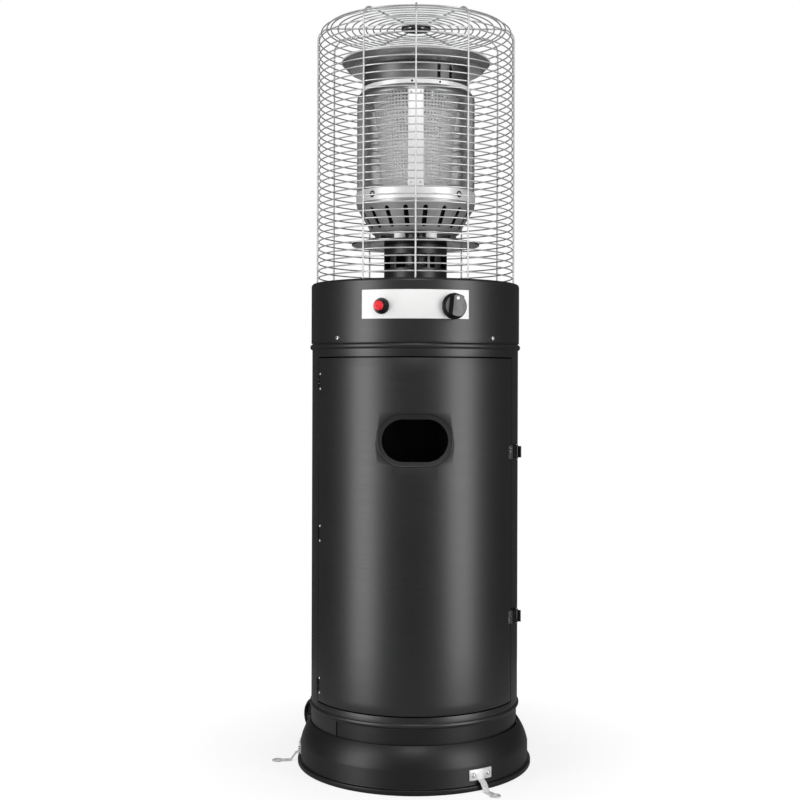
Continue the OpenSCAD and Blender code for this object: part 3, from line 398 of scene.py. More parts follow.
# %% Paint and plastic finishes
def satin_paint(name, dark, light, gloss):
    finish, tree, shader = new_finish(name)
    lines = ring_lines(tree, 1400.0)
    clouds = grain(tree, 9.0, 4.0)
    tree.links.new(tint(tree, clouds, dark, light), shader.inputs["Base Color"])
    tree.links.new(spread(tree, lines, 0.36, 0.44), shader.inputs["Roughness"])
    shader.inputs["Specular IOR Level"].default_value = gloss
    bump(tree, shader, grain(tree, 1900.0, 2.0), 0.10, 0.0002)
    return finish


def moulded(name, dark, light, low, high, depth=0.12):
    finish, tree, shader = new_finish(name)
    tree.links.new(tint(tree, grain(tree, 60.0), dark, light), shader.inputs["Base Color"])
    tree.links.new(spread(tree, grain(tree, 220.0), low, high), shader.inputs["Roughness"])
    bump(tree, shader, grain(tree, 2600.0, 1.0), depth, 0.00015)
    return finish


black_paint = satin_paint("satin_black_paint", (0.0045, 0.0047, 0.0050), (0.0066, 0.0068, 0.0072), 0.8)
base_paint = satin_paint("flat_black_paint", (0.0050, 0.0051, 0.0054), (0.0070, 0.0071, 0.0074), 0.48)
black_plastic = moulded("grained_black_plastic", (0.008, 0.008, 0.009), (0.013, 0.013, 0.014), 0.34, 0.46)
gloss_plastic = moulded("polished_black_plastic", (0.006, 0.006, 0.007), (0.009, 0.009, 0.010), 0.16, 0.24, 0.03)
# Painted shade: a matt, nearly black plastic for the knob bar's side walls, darker than the knob's own gloss
# black.
bar_side_shade_plastic = moulded("painted_shade_black_plastic", grey(0.003), grey(0.005), 0.62, 0.78)
bar_side_shade_plastic.node_tree.nodes["Principled BSDF"].inputs["Specular IOR Level"].default_value = 0.12
# Painted sheen: the grey of the knob's outward faces stands for the light they catch.
knob_face_sheen = moulded("painted_sheen_grey_plastic", (0.11, 0.111, 0.113), (0.14, 0.141, 0.143), 0.34, 0.46)
wheel_plastic = moulded("wheel_black_plastic", (0.010, 0.010, 0.011), (0.018, 0.018, 0.019), 0.42, 0.58)
red_plastic = moulded("button_red_plastic", (0.68, 0.014, 0.022), (0.78, 0.020, 0.030), 0.22, 0.32, 0.03)
white_paint = moulded("mark_white_paint", (0.80, 0.80, 0.78), (0.88, 0.88, 0.86), 0.35, 0.45)
ceramic = moulded("glazed_ceramic", (0.74, 0.72, 0.66), (0.84, 0.82, 0.77), 0.18, 0.3)
print("paints and plastics set")

# %% [markdown]
# ### Metals
# The burner is bare stainless steel, the bands and the fascia are polished brighter, and the guard is plated
# wire. A metal takes its look from what it reflects, so colour varies little, while roughness and fine lines
# do the work.

# %% Metal finishes
def turned_metal(name, dark, light, low, high, depth=0.06, metallic=1.0):
    finish, tree, shader = new_finish(name)
    lines = ring_lines(tree, 1500.0)
    tree.links.new(tint(tree, grain(tree, 30.0, 4.0), dark, light), shader.inputs["Base Color"])
    tree.links.new(spread(tree, lines, low, high), shader.inputs["Roughness"])
    shader.inputs["Metallic"].default_value = metallic
    bump(tree, shader, lines, depth, 0.0002)
    return finish


def plain_metal(name, dark, light, low, high, size=90.0, depth=0.04, metallic=1.0):
    finish, tree, shader = new_finish(name)
    tree.links.new(tint(tree, grain(tree, size, 4.0), dark, light), shader.inputs["Base Color"])
    tree.links.new(spread(tree, grain(tree, size * 3.0), low, high), shader.inputs["Roughness"])
    shader.inputs["Metallic"].default_value = metallic
    bump(tree, shader, grain(tree, size * 12.0, 2.0), depth, 0.0002)
    return finish


def heat_tinted(name, rings, low, high):
    """Turned metal that the heat has darkened in rings: (radius, tone) pairs from the axis outwards."""
    finish = turned_metal(name, grey(0.5), grey(0.5), low, high)
    tree = finish.node_tree
    shader = tree.nodes["Principled BSDF"]
    reach = rings[-1][0] * MM
    share = reckon(tree, "DIVIDE", axis_distance(tree)[0], reach)
    uneven = reckon(tree, "ADD", share, spread(tree, grain(tree, 24.0, 4.0), -0.025, 0.025))
    stops = [(radius * MM / reach, (tone, tone, tone * 0.98)) for radius, tone in rings]
    tree.links.new(ramped(tree, uneven, stops), shader.inputs["Base Color"])
    shader.inputs["Specular Tint"].default_value = (0.3, 0.3, 0.3, 1.0)
    return finish


SHIELD_RINGS = ((47.0, 0.10), (66.0, 0.16), (78.0, 0.50), (92.0, 0.44), (104.0, 0.13), (113.0, 0.10),
                (120.5, 0.22))
stainless = turned_metal("satin_stainless", grey(0.36), grey(0.46), 0.34, 0.46)
reflector_metal = turned_metal("reflector_stainless", grey(0.40), grey(0.48), 0.20, 0.28, metallic=0.8)
shield_metal = heat_tinted("heat_tinted_shield", SHIELD_RINGS, 0.20, 0.30)
pressed_steel = turned_metal("pressed_stainless", grey(0.44), grey(0.54), 0.34, 0.46, metallic=0.75)
# Painted shade: the exhaust neck's darker grey stands for the shadow that the reflector casts on it.
shaded_exhaust_steel = turned_metal("shade_darkened_stainless", grey(0.17), grey(0.23), 0.42, 0.54)
# A very dark steel: soot on the burner head and the band rivets, painted shade on the sheet behind the bowl's
# slots, and the colour of the bowl's inner side.
soot_and_shade_steel = turned_metal("soot_and_painted_shade_steel", grey(0.012), (0.026, 0.025, 0.024), 0.55, 0.75)
# Polished steel for the seam strap and the top band; on the reflector's rolled rim it is a painted highlight.
polished_and_highlight_steel = turned_metal("polished_steel_and_painted_highlight", grey(0.86), grey(0.92), 0.30, 0.40, 0.04, 0.2)
band_metal = turned_metal("band_steel", grey(0.86), grey(0.92), 0.40, 0.50, 0.04, 0.55)
fascia_metal = turned_metal("bright_fascia_metal", (0.77, 0.77, 0.765), (0.81, 0.81, 0.805), 0.40, 0.52, 0.03, 0.2)
mesh_metal = plain_metal("mesh_stainless", grey(0.30), grey(0.38), 0.30, 0.40)
cone_metal = plain_metal("bright_cone_steel", grey(0.84), grey(0.93), 0.40, 0.55, 25.0, metallic=0.1)
wire_metal = plain_metal("plated_wire", (0.58, 0.585, 0.59), (0.66, 0.665, 0.67), 0.28, 0.38, metallic=0.55)
bracket_metal = plain_metal("bright_zinc_plate", grey(0.80), grey(0.87), 0.24, 0.34, 30.0, 0.012, 0.3)
black_zinc = plain_metal("black_zinc_plate", grey(0.014), grey(0.026), 0.38, 0.52)
chrome = plain_metal("chrome_plate", (0.74, 0.745, 0.75), (0.80, 0.805, 0.81), 0.08, 0.16)
zinc = plain_metal("zinc_plate", (0.52, 0.53, 0.55), (0.64, 0.65, 0.67), 0.28, 0.42)
brass = plain_metal("turned_brass", (0.52, 0.36, 0.13), (0.62, 0.45, 0.18), 0.24, 0.36)
print("finishes", len(bpy.data.materials))

# %% [markdown]
# ## Base
# The base is one deep-drawn pan: a rolled rim on the floor, an upright wall and a rounded shoulder. The outline
# is drawn once round the wall's thickness and spun, which keeps the shoulder perfectly smooth.

# %% Base pan and collar
WALL = 1.5
RIM_R, RIM_ROUND, RIM_H = 219.0, 2.6, 10.0
PAN_R, FILLET = 197.5, 1.2
WALL_R, WALL_H, BASE_TOP_R, BASE_H, BULGE = 213.5, 41.0, 195.7, 80.0, 2.4


def shoulder(inset):
    """The bulging arc from the wall's top to the base's top edge."""
    low, high = Vector((WALL_R, WALL_H)), Vector((BASE_TOP_R, BASE_H))
    chord = (high - low).length
    radius = ((chord / 2) ** 2 + BULGE ** 2) / (2 * BULGE)
    normal = Vector((BASE_H - WALL_H, WALL_R - BASE_TOP_R)) / chord
    middle = (low + high) / 2 - normal * (radius - BULGE)
    first = math.degrees(math.atan2(low.y - middle.y, low.x - middle.x))
    last = math.degrees(math.atan2(high.y - middle.y, high.x - middle.x))
    return arc(middle.x, middle.y, radius - inset, first, last, 14)


rim = arc(RIM_R - RIM_ROUND, RIM_ROUND, RIM_ROUND, -90, 0, 5)
rim += arc(RIM_R - RIM_ROUND, RIM_H - RIM_ROUND, RIM_ROUND, 0, 90, 5)
outline = [(PAN_R, 0.0)] + rim + [(WALL_R + FILLET, RIM_H)]
outline += arc(WALL_R + FILLET, RIM_H + FILLET, FILLET, -90, -180, 3)
outline += shoulder(0.0) + shoulder(WALL)[::-1] + [(WALL_R - WALL, WALL), (PAN_R, WALL)]
pan = turned("base_pan_skin", outline, steps=180)
ledge = turned("groove_ledge", [(192.35, 72.5), (198.8, 72.5), (198.8, 74.0), (192.35, 74.0)])
base = joined("base_pan_drawn", [pan, ledge])
fit(base, "heater", "black_paint", base_paint, "base_pan")

collar = turned("collar_rolled", [(190.7, 50.0), (192.2, 50.0), (192.2, 120.8), (191.9, 121.0), (190.7, 121.0)])
fit(collar, "heater", "black_paint", base_paint, "base_collar")

# %% [markdown]
# ## Drum
# The drum is rolled from one sheet with two beads that stiffen it. Its skin is spun as a single surface, edges
# are added where the door opening, the hinge notches and the skirt end, the faces in between are deleted, and
# Solidify gives the sheet its thickness.

# %% Drum shell
DRUM_R, DRUM_Z0, DRUM_Z1, BEAD_ROUND = 194.0, 107.0, 783.0, 5.5
SKIRT_Z, SKIRT_A0, SKIRT_A1 = 74.3, -134.0, -46.0
DOOR_Z0, DOOR_Z1, DOOR_A, SEAM = 131.0, 756.0, 65.0, 2.4
SEAM_A = math.degrees(SEAM / DRUM_R)
HINGE_A = -(DOOR_A + SEAM_A / 2)
HINGE_Z = (160.0, 437.0, 714.0)
NOTCH_HALF_W, NOTCH_HALF_H = 3.1, 10.5
NOTCH_A = math.degrees(NOTCH_HALF_W / DRUM_R)


def bead(out, middle):
    """A rolled bead that stands out of the drum's wall."""
    reach = math.degrees(math.acos((BEAD_ROUND - out) / BEAD_ROUND))
    return arc(DRUM_R + out - BEAD_ROUND, middle, BEAD_ROUND, -reach, reach, 10)


def in_notch(height):
    """Is there a hinge's notch at this height?"""
    return any(abs(height - z) < NOTCH_HALF_H for z in HINGE_Z)


outline = [(DRUM_R, SKIRT_Z), (DRUM_R, DRUM_Z0)] + bead(2.8, 113.5) + [(DRUM_R, 300.0), (DRUM_R, 600.0)]
outline += bead(4.0, 777.5) + [(DRUM_R, DRUM_Z1), (DRUM_R, 799.0)]
drum = turned("drum_rolled", outline, steps=180, closed=False)
open_a, open_z0, open_z1 = DOOR_A + SEAM_A, DOOR_Z0 - SEAM, DOOR_Z1 + SEAM
notch_out = HINGE_A - NOTCH_A
slice_at(drum, (SKIRT_A0, SKIRT_A1, -open_a, open_a, notch_out), [open_z0, open_z1] + sides(HINGE_Z, NOTCH_HALF_H))
remove_faces(drum, lambda a, z: z < DRUM_Z0 and not SKIRT_A0 < a < SKIRT_A1)
remove_faces(drum, lambda a, z: abs(a) < open_a and open_z0 < z < open_z1)
remove_faces(drum, lambda a, z: notch_out < a < -DOOR_A and in_notch(z))
thicken(drum, WALL)
round_edges(drum, 0.35)
fit(drum, "heater", "black_paint", black_paint, "drum_shell")

# %% [markdown]
# ## Door
# The door is a curved panel with its edges folded in, and an oval port with a pressed rim. The folds are extruded
# from the panel's border and drawn towards the axis. The port is cut with an oval prism. Its rim is an outline
# spun round the port's middle; its halves are moved apart, and it is wrapped on to the drum's curve.

# %% Door panel with folded edges
def select_edges(piece, wanted):
    """Select the edges whose two ends the test picks, in an open mesh."""
    bpy.ops.mesh.select_all(action="DESELECT")
    bpy.ops.object.mode_set(mode="OBJECT")
    spots = [(math.degrees(math.atan2(v.co.x, -v.co.y)), math.hypot(v.co.x, v.co.y) / MM, v.co.z / MM)
             for v in piece.data.vertices]
    for edge in piece.data.edges:
        edge.select = all(wanted(*spots[v]) for v in edge.vertices)
    bpy.ops.object.mode_set(mode="EDIT")


DOOR_ROWS, FOLD, FOLD_A, NEAR = 20, 11.0, -57.0, 0.01
outline = [(DRUM_R, DOOR_Z0 + (DOOR_Z1 - DOOR_Z0) * i / DOOR_ROWS) for i in range(DOOR_ROWS + 1)]
door = turned("door_folded", outline, steps=104, first=-DOOR_A, sweep=2 * DOOR_A, closed=False)
open_mesh(door)
bpy.ops.mesh.select_mode(type="EDGE")
shrink = (DRUM_R - FOLD) / DRUM_R
for level in (DOOR_Z0, DOOR_Z1):
    select_edges(door, lambda a, r, z: abs(z - level) < NEAR and a > FOLD_A)
    bpy.ops.mesh.extrude_region_move()
    bpy.ops.transform.resize(value=(shrink, shrink, 1.0), center_override=(0.0, 0.0, 0.0))
select_edges(door, lambda a, r, z: abs(a - DOOR_A) < NEAR and r > DRUM_R - 0.1)
bpy.ops.mesh.extrude_region_move(TRANSFORM_OT_translate={"value": at(DOOR_A, -FOLD, 0.0)})
bpy.ops.mesh.select_mode(type="VERT")
clean()
bpy.ops.object.mode_set(mode="OBJECT")
face_out(door)
notch_in = HINGE_A + NOTCH_A
slice_at(door, (notch_in,), sides(HINGE_Z, NOTCH_HALF_H))
remove_faces(door, lambda a, z: a < notch_in and in_notch(z))
thicken(door, WALL)
print("door panel", len(door.data.polygons), "faces")

# %% Port and its pressed rim
PORT_Z, PORT_STRAIGHT, PORT_ROUND, PORT_RIM = 611.0, 21.0, 37.0, 10.0
PORT_STEPS, CUTTER_DEPTH = 64, 60.0
half_step = math.radians(180 / PORT_STEPS)


def part_halves(piece, straight):
    """Move the two halves of a round piece apart, which makes it oval."""
    for side in (-1, 1):
        only(piece)
        for vertex in piece.data.vertices:
            vertex.select = vertex.co.x * side > 0
        for edge in piece.data.edges:
            edge.select = False
        for face in piece.data.polygons:
            face.select = False
        bpy.ops.object.mode_set(mode="EDIT")
        bpy.ops.transform.translate(value=(side * straight * MM, 0, 0))
        bpy.ops.object.mode_set(mode="OBJECT")


deselect()
bpy.ops.mesh.primitive_cylinder_add(
    vertices=PORT_STEPS, radius=(PORT_ROUND + PORT_RIM) * MM, depth=CUTTER_DEPTH * MM,
    location=(0, -DRUM_R * MM, PORT_Z * MM), rotation=(math.radians(90), half_step, 0))
port_cutter = settled()
part_halves(port_cutter, PORT_STRAIGHT)
cut(door, port_cutter)
round_edges(door, 0.35)

pressed = [(10.6, 0.5), (9.9, 0.15), (9.3, 1.0), (8.6, 1.8), (7.8, 2.2), (1.2, 2.2), (0.4, 2.45), (0.0, 3.1),
           (0.0, 3.7), (8.6, 3.7), (10.6, 1.4), (10.6, 0.5)]
points = []
for grow, depth in pressed:
    radius = PORT_ROUND + grow
    points.append(Vector((radius * math.cos(half_step), depth, PORT_Z + radius * math.sin(half_step))) * MM)
port_rim = spun("port_rim", points, PORT_STEPS, math.radians(360), (0, 0, PORT_Z * MM), (0, 1, 0))
part_halves(port_rim, PORT_STRAIGHT)
for vertex in port_rim.data.vertices:
    radius = DRUM_R * MM - vertex.co.y
    vertex.co.y = -math.sqrt(radius ** 2 - vertex.co.x ** 2)
open_mesh(port_rim)
bpy.ops.mesh.normals_make_consistent(inside=False)
smooth(port_rim)
door = joined("door_folded", [door, port_rim])
fit(door, "door", "black_paint", black_paint, "door_panel")

# %% [markdown]
# ## Hinges, latches and rivets
# The hinge leaves hide inside the drum, and only the rivets show on the door. One domed rivet is turned and copied
# to its six places. The latches are small moulded levers on two ears, and they are taken from the solids with
# softened edges.

# %% Rivets
RIVET_SIDE, RIVET_UP = 8.0, 13.35
rivet = turned("rivet", [(0.0, 1.6), (1.0, 1.5), (1.9, 1.15), (2.55, 0.6), (2.8, 0.1), (2.8, 0.0), (0.0, 0.0)],
               steps=24)
rivet_a = HINGE_A + math.degrees(RIVET_SIDE / DRUM_R)
rivets = copies("hinge_rivet_heads", rivet, [outward(rivet_a, DRUM_R + 0.1, z) for z in sides(HINGE_Z, RIVET_UP)])
fit(rivets, "door", "zinc_steel", zinc, "hinge_rivets")

# %% Latches
for lever, body in (("latch_lever_upper", "latch_upper"), ("latch_lever_lower", "latch_lower")):
    fit_softened(lever, 0.4, body, "black_plastic", gloss_plastic)
fit_softened("latch_bases", 0.3, "heater", "black_plastic", black_plastic)
fit_softened("latch_keepers", 0.2, "door", "chrome_plate", chrome)

# %% [markdown]
# ## Control housing and fascia
# The housing is a deep ring with a rolled top rim that turns down to the burner deck. The fascia is a bright strip
# on its front, spun over a small angle and thickened.

# %% Housing and fascia
HOUSING_R, HOUSING_Z0, CROWN_R, CROWN_Z = 195.8, 785.0, 190.3, 890.5
outline = [(194.3, HOUSING_Z0), (HOUSING_R, HOUSING_Z0)] + arc(CROWN_R, CROWN_Z, 5.5, 0, 90, 10)
outline += arc(190.0, 894.8, 1.2, 90, 180, 4) + [(188.8, 880.5), (183.8, 880.5), (183.8, 879.0), (CROWN_R, 879.0)]
outline += arc(CROWN_R, CROWN_Z, 4.0, 90, 0, 6)
housing = turned("housing_rolled", outline, steps=180)
fit(housing, "heater", "black_paint", black_paint, "control_housing")

FASCIA_R, FASCIA_A = 197.15, 28.5
fascia = turned("fascia_strip", [(FASCIA_R, 824.07), (FASCIA_R, 875.07)], steps=48, first=-FASCIA_A,
                sweep=2 * FASCIA_A, closed=False)
thicken(fascia, 1.2)
round_edges(fascia, 0.45, 3)
fit(fascia, "heater", "bright_steel", fascia_metal, "control_fascia")

# %% [markdown]
# ## Igniter and gas knob
# The igniter is a red button in a conical black bezel. The knob has a round skirt and a wide grip bar across it,
# both with a grey front face that is painted sheen, the bar's side walls matt black as painted shade, and a white
# dot. Each is turned or cut in its own frame, with z pointing outwards, and then placed.

# %% Igniter
CONTROL_Z, IGNITER_A, IGNITER_R, KNOB_A = 846.0, -17.4, 197.25, 19.6
igniter_seat = outward(IGNITER_A, IGNITER_R, CONTROL_Z)
bezel = turned("igniter_bezel_turned", [
    (11.4, -22.0), (12.6, -22.0), (12.6, 0.0), (14.0, 0.0), (14.4, 0.4), (14.4, 2.0), (14.0, 2.8), (13.4, 3.4),
    (10.2, 14.6), (9.7, 15.3), (9.2, 15.5), (8.95, 15.2), (8.95, 10.0), (11.4, 8.0)], steps=64)
place(bezel, igniter_seat)
fit(bezel, "heater", "black_plastic", gloss_plastic, "igniter_bezel")

button = turned("igniter_button_turned", [
    (0.0, -26.0), (3.0, -26.0), (3.0, -5.0), (11.0, -5.0), (11.0, 1.0), (8.6, 2.0), (8.6, 18.0)]
    + arc(6.6, 18.0, 2.0, 0, 80, 8) + [(3.5, 19.98), (0.0, 20.0)], steps=64)
place(button, igniter_seat)
fit(button, "igniter", "red_plastic", red_plastic, "igniter_button")

# %% Gas knob
BAR_HALF_W, BAR_Z, BAR_DRAFT, BAR_TURN = 11.0, 20.0, 0.27, -6.0
skirt = turned("knob_skirt", [
    (9.5, 4.5), (22.5, 4.5), (23.0, 5.0), (23.0, 6.4), (22.7, 7.0), (20.9, 9.2), (19.8, 13.0), (19.4, 13.7),
    (18.9, 13.9), (4.2, 13.9), (4.2, 8.5), (9.5, 8.5)], steps=96)
bar = turned("knob_bar", [(0.0, 5.5), (21.2, 5.5), (21.2, 7.0), (19.6, 24.6), (18.9, 25.4), (0.0, 25.8)], steps=64)
open_mesh(bar)
for side in (-1, 1):
    bpy.ops.mesh.select_all(action="SELECT")
    bpy.ops.mesh.bisect(plane_co=(side * BAR_HALF_W * MM, 0, BAR_Z * MM), plane_no=(side, 0, BAR_DRAFT),
                        use_fill=True, clear_outer=True)
bpy.ops.object.mode_set(mode="OBJECT")
round_edges(bar, 0.9, 3)
place(bar, Matrix.Rotation(math.radians(BAR_TURN), 4, "Z"))
dot = turned("knob_dot", [(0.0, 25.4), (2.9, 25.4), (2.9, 25.75), (2.6, 25.95), (0.0, 25.95)], steps=24)
open_mesh(dot)
bpy.ops.transform.translate(value=(-0.6 * MM, 13.0 * MM, 0))
bpy.ops.object.mode_set(mode="OBJECT")
# Faces that look straight out take the grey of painted sheen. The bar's side walls take a matt near-black plastic
# as painted shade.
for part, front, wall_finish_and_shade in ((skirt, 13.5, gloss_plastic), (bar, 25.0, bar_side_shade_plastic)):
    part.data.materials.append(wall_finish_and_shade)
    part.data.materials.append(knob_face_sheen)
    for face in part.data.polygons:
        face.material_index = int(face.normal.z > 0.95 and face.center.z > front * MM)
dot.data.materials.append(white_paint)
knob = joined("gas_knob", [skirt, bar, dot])
place(knob, outward(KNOB_A, FASCIA_R, CONTROL_Z))
fit(knob, "knob", "black_plastic", None, "control_knob")

# %% [markdown]
# ## Burner neck, heat shield and slotted bowl
# Warm air rises through windows in a black neck. Above it a disc tinted by the heat shields the housing, and a
# cone with eighteen tall slots feeds the burner. Windows are deleted faces of a spun skin, and slots are cut with
# ovals. A black sheet in the back of the neck and a very dark sheet behind the slots are painted shade, which
# keeps the inside dark.

# %% Neck, shield and base ring
WINDOWS, WINDOW_A, WINDOW_Z0, WINDOW_Z1 = 8, 15.3, 925.32, 951.32
HOLE_A, HOLE_Z0, HOLE_Z1 = 14.0, 976.5, 986.5
pitch = 360.0 / WINDOWS
neck = turned("windowed_neck", [(69.9, 883.5), (59.4, 883.5), (59.4, 925.0), (59.4, 970.0), (50.4, 970.0)],
              closed=False)
slice_at(neck, sides([(i + 0.5) * pitch for i in range(WINDOWS)], WINDOW_A), (WINDOW_Z0, WINDOW_Z1))
remove_faces(neck, lambda a, z: WINDOW_Z0 < z < WINDOW_Z1 and beside(a, pitch / 2, pitch) < WINDOW_A)
thicken(neck, WALL)
round_edges(neck, 0.3)
fit(neck, "heater", "black_paint", black_paint, "burner_neck")

# Painted shade: a black sheet in the back of the neck, so that the windows show dark inside.
neck_shade_sheet = turned("neck_painted_shade_sheet", [(57.7, 886.0), (57.7, 968.0)], steps=72, first=95.0, sweep=170.0, closed=False)
thicken(neck_shade_sheet, 0.8)
fit(neck_shade_sheet, "heater", "black_paint", black_paint)

shield = turned("heat_shield_pressed", [
    (47.0, 970.0), (119.9, 970.0), (120.5, 970.6), (120.5, 973.2), (120.2, 973.5), (119.3, 973.5), (119.0, 973.2),
    (119.0, 971.5), (47.0, 971.5)])
fit(shield, "heater", "stainless", shield_metal, "heat_shield_disc")

ring = turned("bowl_base_ring", [(69.0, 971.6), (77.0, 971.6), (77.0, 991.4), (69.0, 991.4)], closed=False)
slice_at(ring, sides([i * pitch for i in range(WINDOWS)], HOLE_A), (HOLE_Z0, HOLE_Z1))
remove_faces(ring, lambda a, z: HOLE_Z0 < z < HOLE_Z1 and beside(a, 0.0, pitch) < HOLE_A)
thicken(ring, WALL)
round_edges(ring, 0.3)
fit(ring, "heater", "stainless", stainless, "burner_base_ring")

# %% Slotted bowl
SLOTS, SLOT_W, SLOT_L, SLOT_STEPS = 18, 9.0, 37.0, 32
bowl = turned("slotted_bowl", [(20.3, 991.5), (80.5, 991.5), (82.0, 992.3), (111.0, 1041.5), (111.0, 1057.5)],
              closed=False)
modify(bowl, "SOLIDIFY", thickness=1.6 * MM, offset=-1.0, use_even_offset=True, material_offset=1)
bowl.data.materials.append(pressed_steel)
bowl.data.materials.append(soot_and_shade_steel)
deselect()
bpy.ops.mesh.primitive_cylinder_add(vertices=SLOT_STEPS, radius=SLOT_W / 2 * MM, depth=CUTTER_DEPTH * MM,
                                    rotation=(0, 0, math.pi / SLOT_STEPS))
slot_cutter = settled()
part_halves(slot_cutter, (SLOT_L - SLOT_W) / 2)
upright = Matrix.Rotation(math.radians(90), 4, "Z")
slot_cutters = copies("slot_cutters", slot_cutter,
                      [outward((i + 0.5) * 360 / SLOTS, 100.0, 1016.5) @ upright for i in range(SLOTS)])
cut(bowl, slot_cutters)
smooth(bowl, 30)
fit(bowl, "heater", "stainless", None, "burner_bowl")

# Painted shade: a very dark sheet behind the bowl's slots, so that the slots show dark inside.
bowl_shade_sheet = turned("bowl_painted_shade_sheet", [(74.0, 996.0), (78.0, 996.0), (104.0, 1042.0), (104.0, 1054.0)], steps=72,
                closed=False)
thicken(bowl_shade_sheet, 0.8)
fit(bowl_shade_sheet, "heater", "stainless", soot_and_shade_steel)

# %% [markdown]
# ## Emitter
# The emitter is a drum of finely perforated steel over an inner flame cone. Its skin is spun as a grid of small
# cells, and every cell is inset and opened, so the holes are real and the cone shows through. The punched collars
# behind the holes grow deeper towards the sides. A bright strap covers the seam at the front.

# %% Perforated screen, strap and flame cone
def perforate(piece, inset, picked, depth=0.0):
    """Open a hole in every face that the test of (azimuth, height) picks, with a punched collar behind it."""
    open_mesh(piece)
    bpy.ops.mesh.select_mode(type="FACE")
    bpy.ops.mesh.select_all(action="DESELECT")
    bpy.ops.object.mode_set(mode="OBJECT")
    for face in piece.data.polygons:
        x, y, z = face.center / MM
        face.select = bool(picked(math.degrees(math.atan2(x, -y)), z))
    bpy.ops.object.mode_set(mode="EDIT")
    bpy.ops.mesh.inset(thickness=inset * MM, use_individual=True, use_even_offset=True)
    if depth:
        bpy.ops.mesh.extrude_region_shrink_fatten(TRANSFORM_OT_shrink_fatten={"value": -depth * MM})
    bpy.ops.mesh.delete(type="FACE")
    bpy.ops.mesh.select_mode(type="VERT")
    bpy.ops.object.mode_set(mode="OBJECT")
    return piece


EMITTER_R, EMITTER_Z0, EMITTER_Z1, EMITTER_ROUND = 111.0, 1057.6, 1255.5, 11.0
MESH_Z0, MESH_Z1, MESH_PITCH, MESH_ROWS, MESH_INSET = 1070.0, 1242.0, 2.3, 76, 0.14
outline = [(EMITTER_R, EMITTER_Z0)] + [(EMITTER_R, MESH_Z0 + MESH_PITCH * i) for i in range(MESH_ROWS)]
outline += arc(EMITTER_R - EMITTER_ROUND, EMITTER_Z1 - EMITTER_ROUND, EMITTER_ROUND, 0, 90, 6)
outline += [(95.0, EMITTER_Z1)]
COLLARS = ((0.0, 0.3), (22.0, 0.45), (34.0, 0.6), (44.0, 0.8), (54.0, 1.0), (64.0, 1.2), (180.0, 0.0))
for side, first in (("front", -90.0), ("back", 90.0)):
    screen = turned("emitter_mesh_" + side, outline, first=first, sweep=180.0, closed=False)
    for (low, depth), (high, _) in zip(COLLARS, COLLARS[1:]):
        perforate(screen, MESH_INSET, lambda a, z: MESH_Z0 < z < MESH_Z1 and low <= abs(a) < high, depth)
    fit(screen, "heater", "stainless", mesh_metal, "emitter_screen")

CONE_R, CONE_FLARE, CONE_Z, CONE_H, CONE_ROWS = 60.0, 20.0, 1068.6, 186.8, 30
CONE_HOLES_Z0, CONE_HOLES_Z1, CONE_INSET = 1075.0, 1250.0, 1.8
cone_rows = [(CONE_R + CONE_FLARE * i / CONE_ROWS, CONE_Z + CONE_H * i / CONE_ROWS) for i in range(CONE_ROWS + 1)]
cone = turned("flame_cone_mesh", cone_rows, steps=72, closed=False)
perforate(cone, CONE_INSET, lambda a, z: CONE_HOLES_Z0 < z < CONE_HOLES_Z1)
thicken(cone, 1.0, 1.0)
fit(cone, "heater", "stainless", cone_metal, "flame_cone")

STRAP_R, STRAP_A = EMITTER_R + 0.55, 7.3
strap = turned("seam_strap", [(STRAP_R, 1068.8), (STRAP_R, 1243.0)], steps=16, first=-STRAP_A, sweep=2 * STRAP_A,
               closed=False)
thicken(strap, 0.5)
round_edges(strap, 0.15)
fit(strap, "heater", "bright_steel", polished_and_highlight_steel)

strap_rivet = turned("strap_rivet", [(0.0, 1.0), (0.9, 0.9), (1.6, 0.55), (1.9, 0.0), (0.0, 0.0)], steps=16)
strap_rivets = copies("strap_rivets", strap_rivet,
                      [outward(a, EMITTER_R + 0.6, z) for z in (1074.5, 1237.5) for a in (-4.6, 4.6)])
fit(strap_rivets, "heater", "zinc_steel", zinc)

# %% Bands
lower_band = turned("lower_band_rolled", [
    (111.15, 1046.5), (112.05, 1046.5), (112.35, 1046.9), (112.35, 1068.1), (112.05, 1068.5), (111.15, 1068.5)])
fit(lower_band, "heater", "bright_steel", band_metal, "emitter_lower_band")
top_band = turned("top_band_rolled", [
    (78.0, 1255.6), (103.1, 1255.6), (103.5, 1256.0), (103.5, 1263.2), (103.2, 1263.5), (102.3, 1263.5),
    (102.3, 1256.8), (78.0, 1256.8)])
fit(top_band, "heater", "bright_steel", polished_and_highlight_steel, "emitter_top_band")
band_rivet = turned("band_rivet", [(0.0, 0.9), (1.0, 0.8), (1.7, 0.5), (2.0, 0.0), (0.0, 0.0)], steps=16)
band_rivets = copies("top_band_rivets", band_rivet,
                     [outward(a, 103.55, 1259.6) for a in (-4.0, 25.0, 120.0, 145.0, 240.0, 265.0)])
fit(band_rivets, "heater", "stainless", soot_and_shade_steel)

# %% [markdown]
# ## Exhaust neck and reflector
# Above the emitter a short neck with pairs of slits carries a dished reflector that throws the heat outwards.

# %% Neck and reflector
SLIT_A, SLIT_Z0, SLIT_Z1 = 1.85, 1269.62, 1293.38
slits = [a + 120.0 * i for i in range(3) for a in (25.0, 40.0)]
exhaust = turned("exhaust_slitted", [(99.0, 1256.8), (99.0, 1281.5), (99.0, 1299.5)], closed=False)
slice_at(exhaust, sides(slits, SLIT_A), (SLIT_Z0, SLIT_Z1))
remove_faces(exhaust, lambda a, z: SLIT_Z0 < z < SLIT_Z1 and any(beside(a, slit) < SLIT_A for slit in slits))
thicken(exhaust, 1.2)
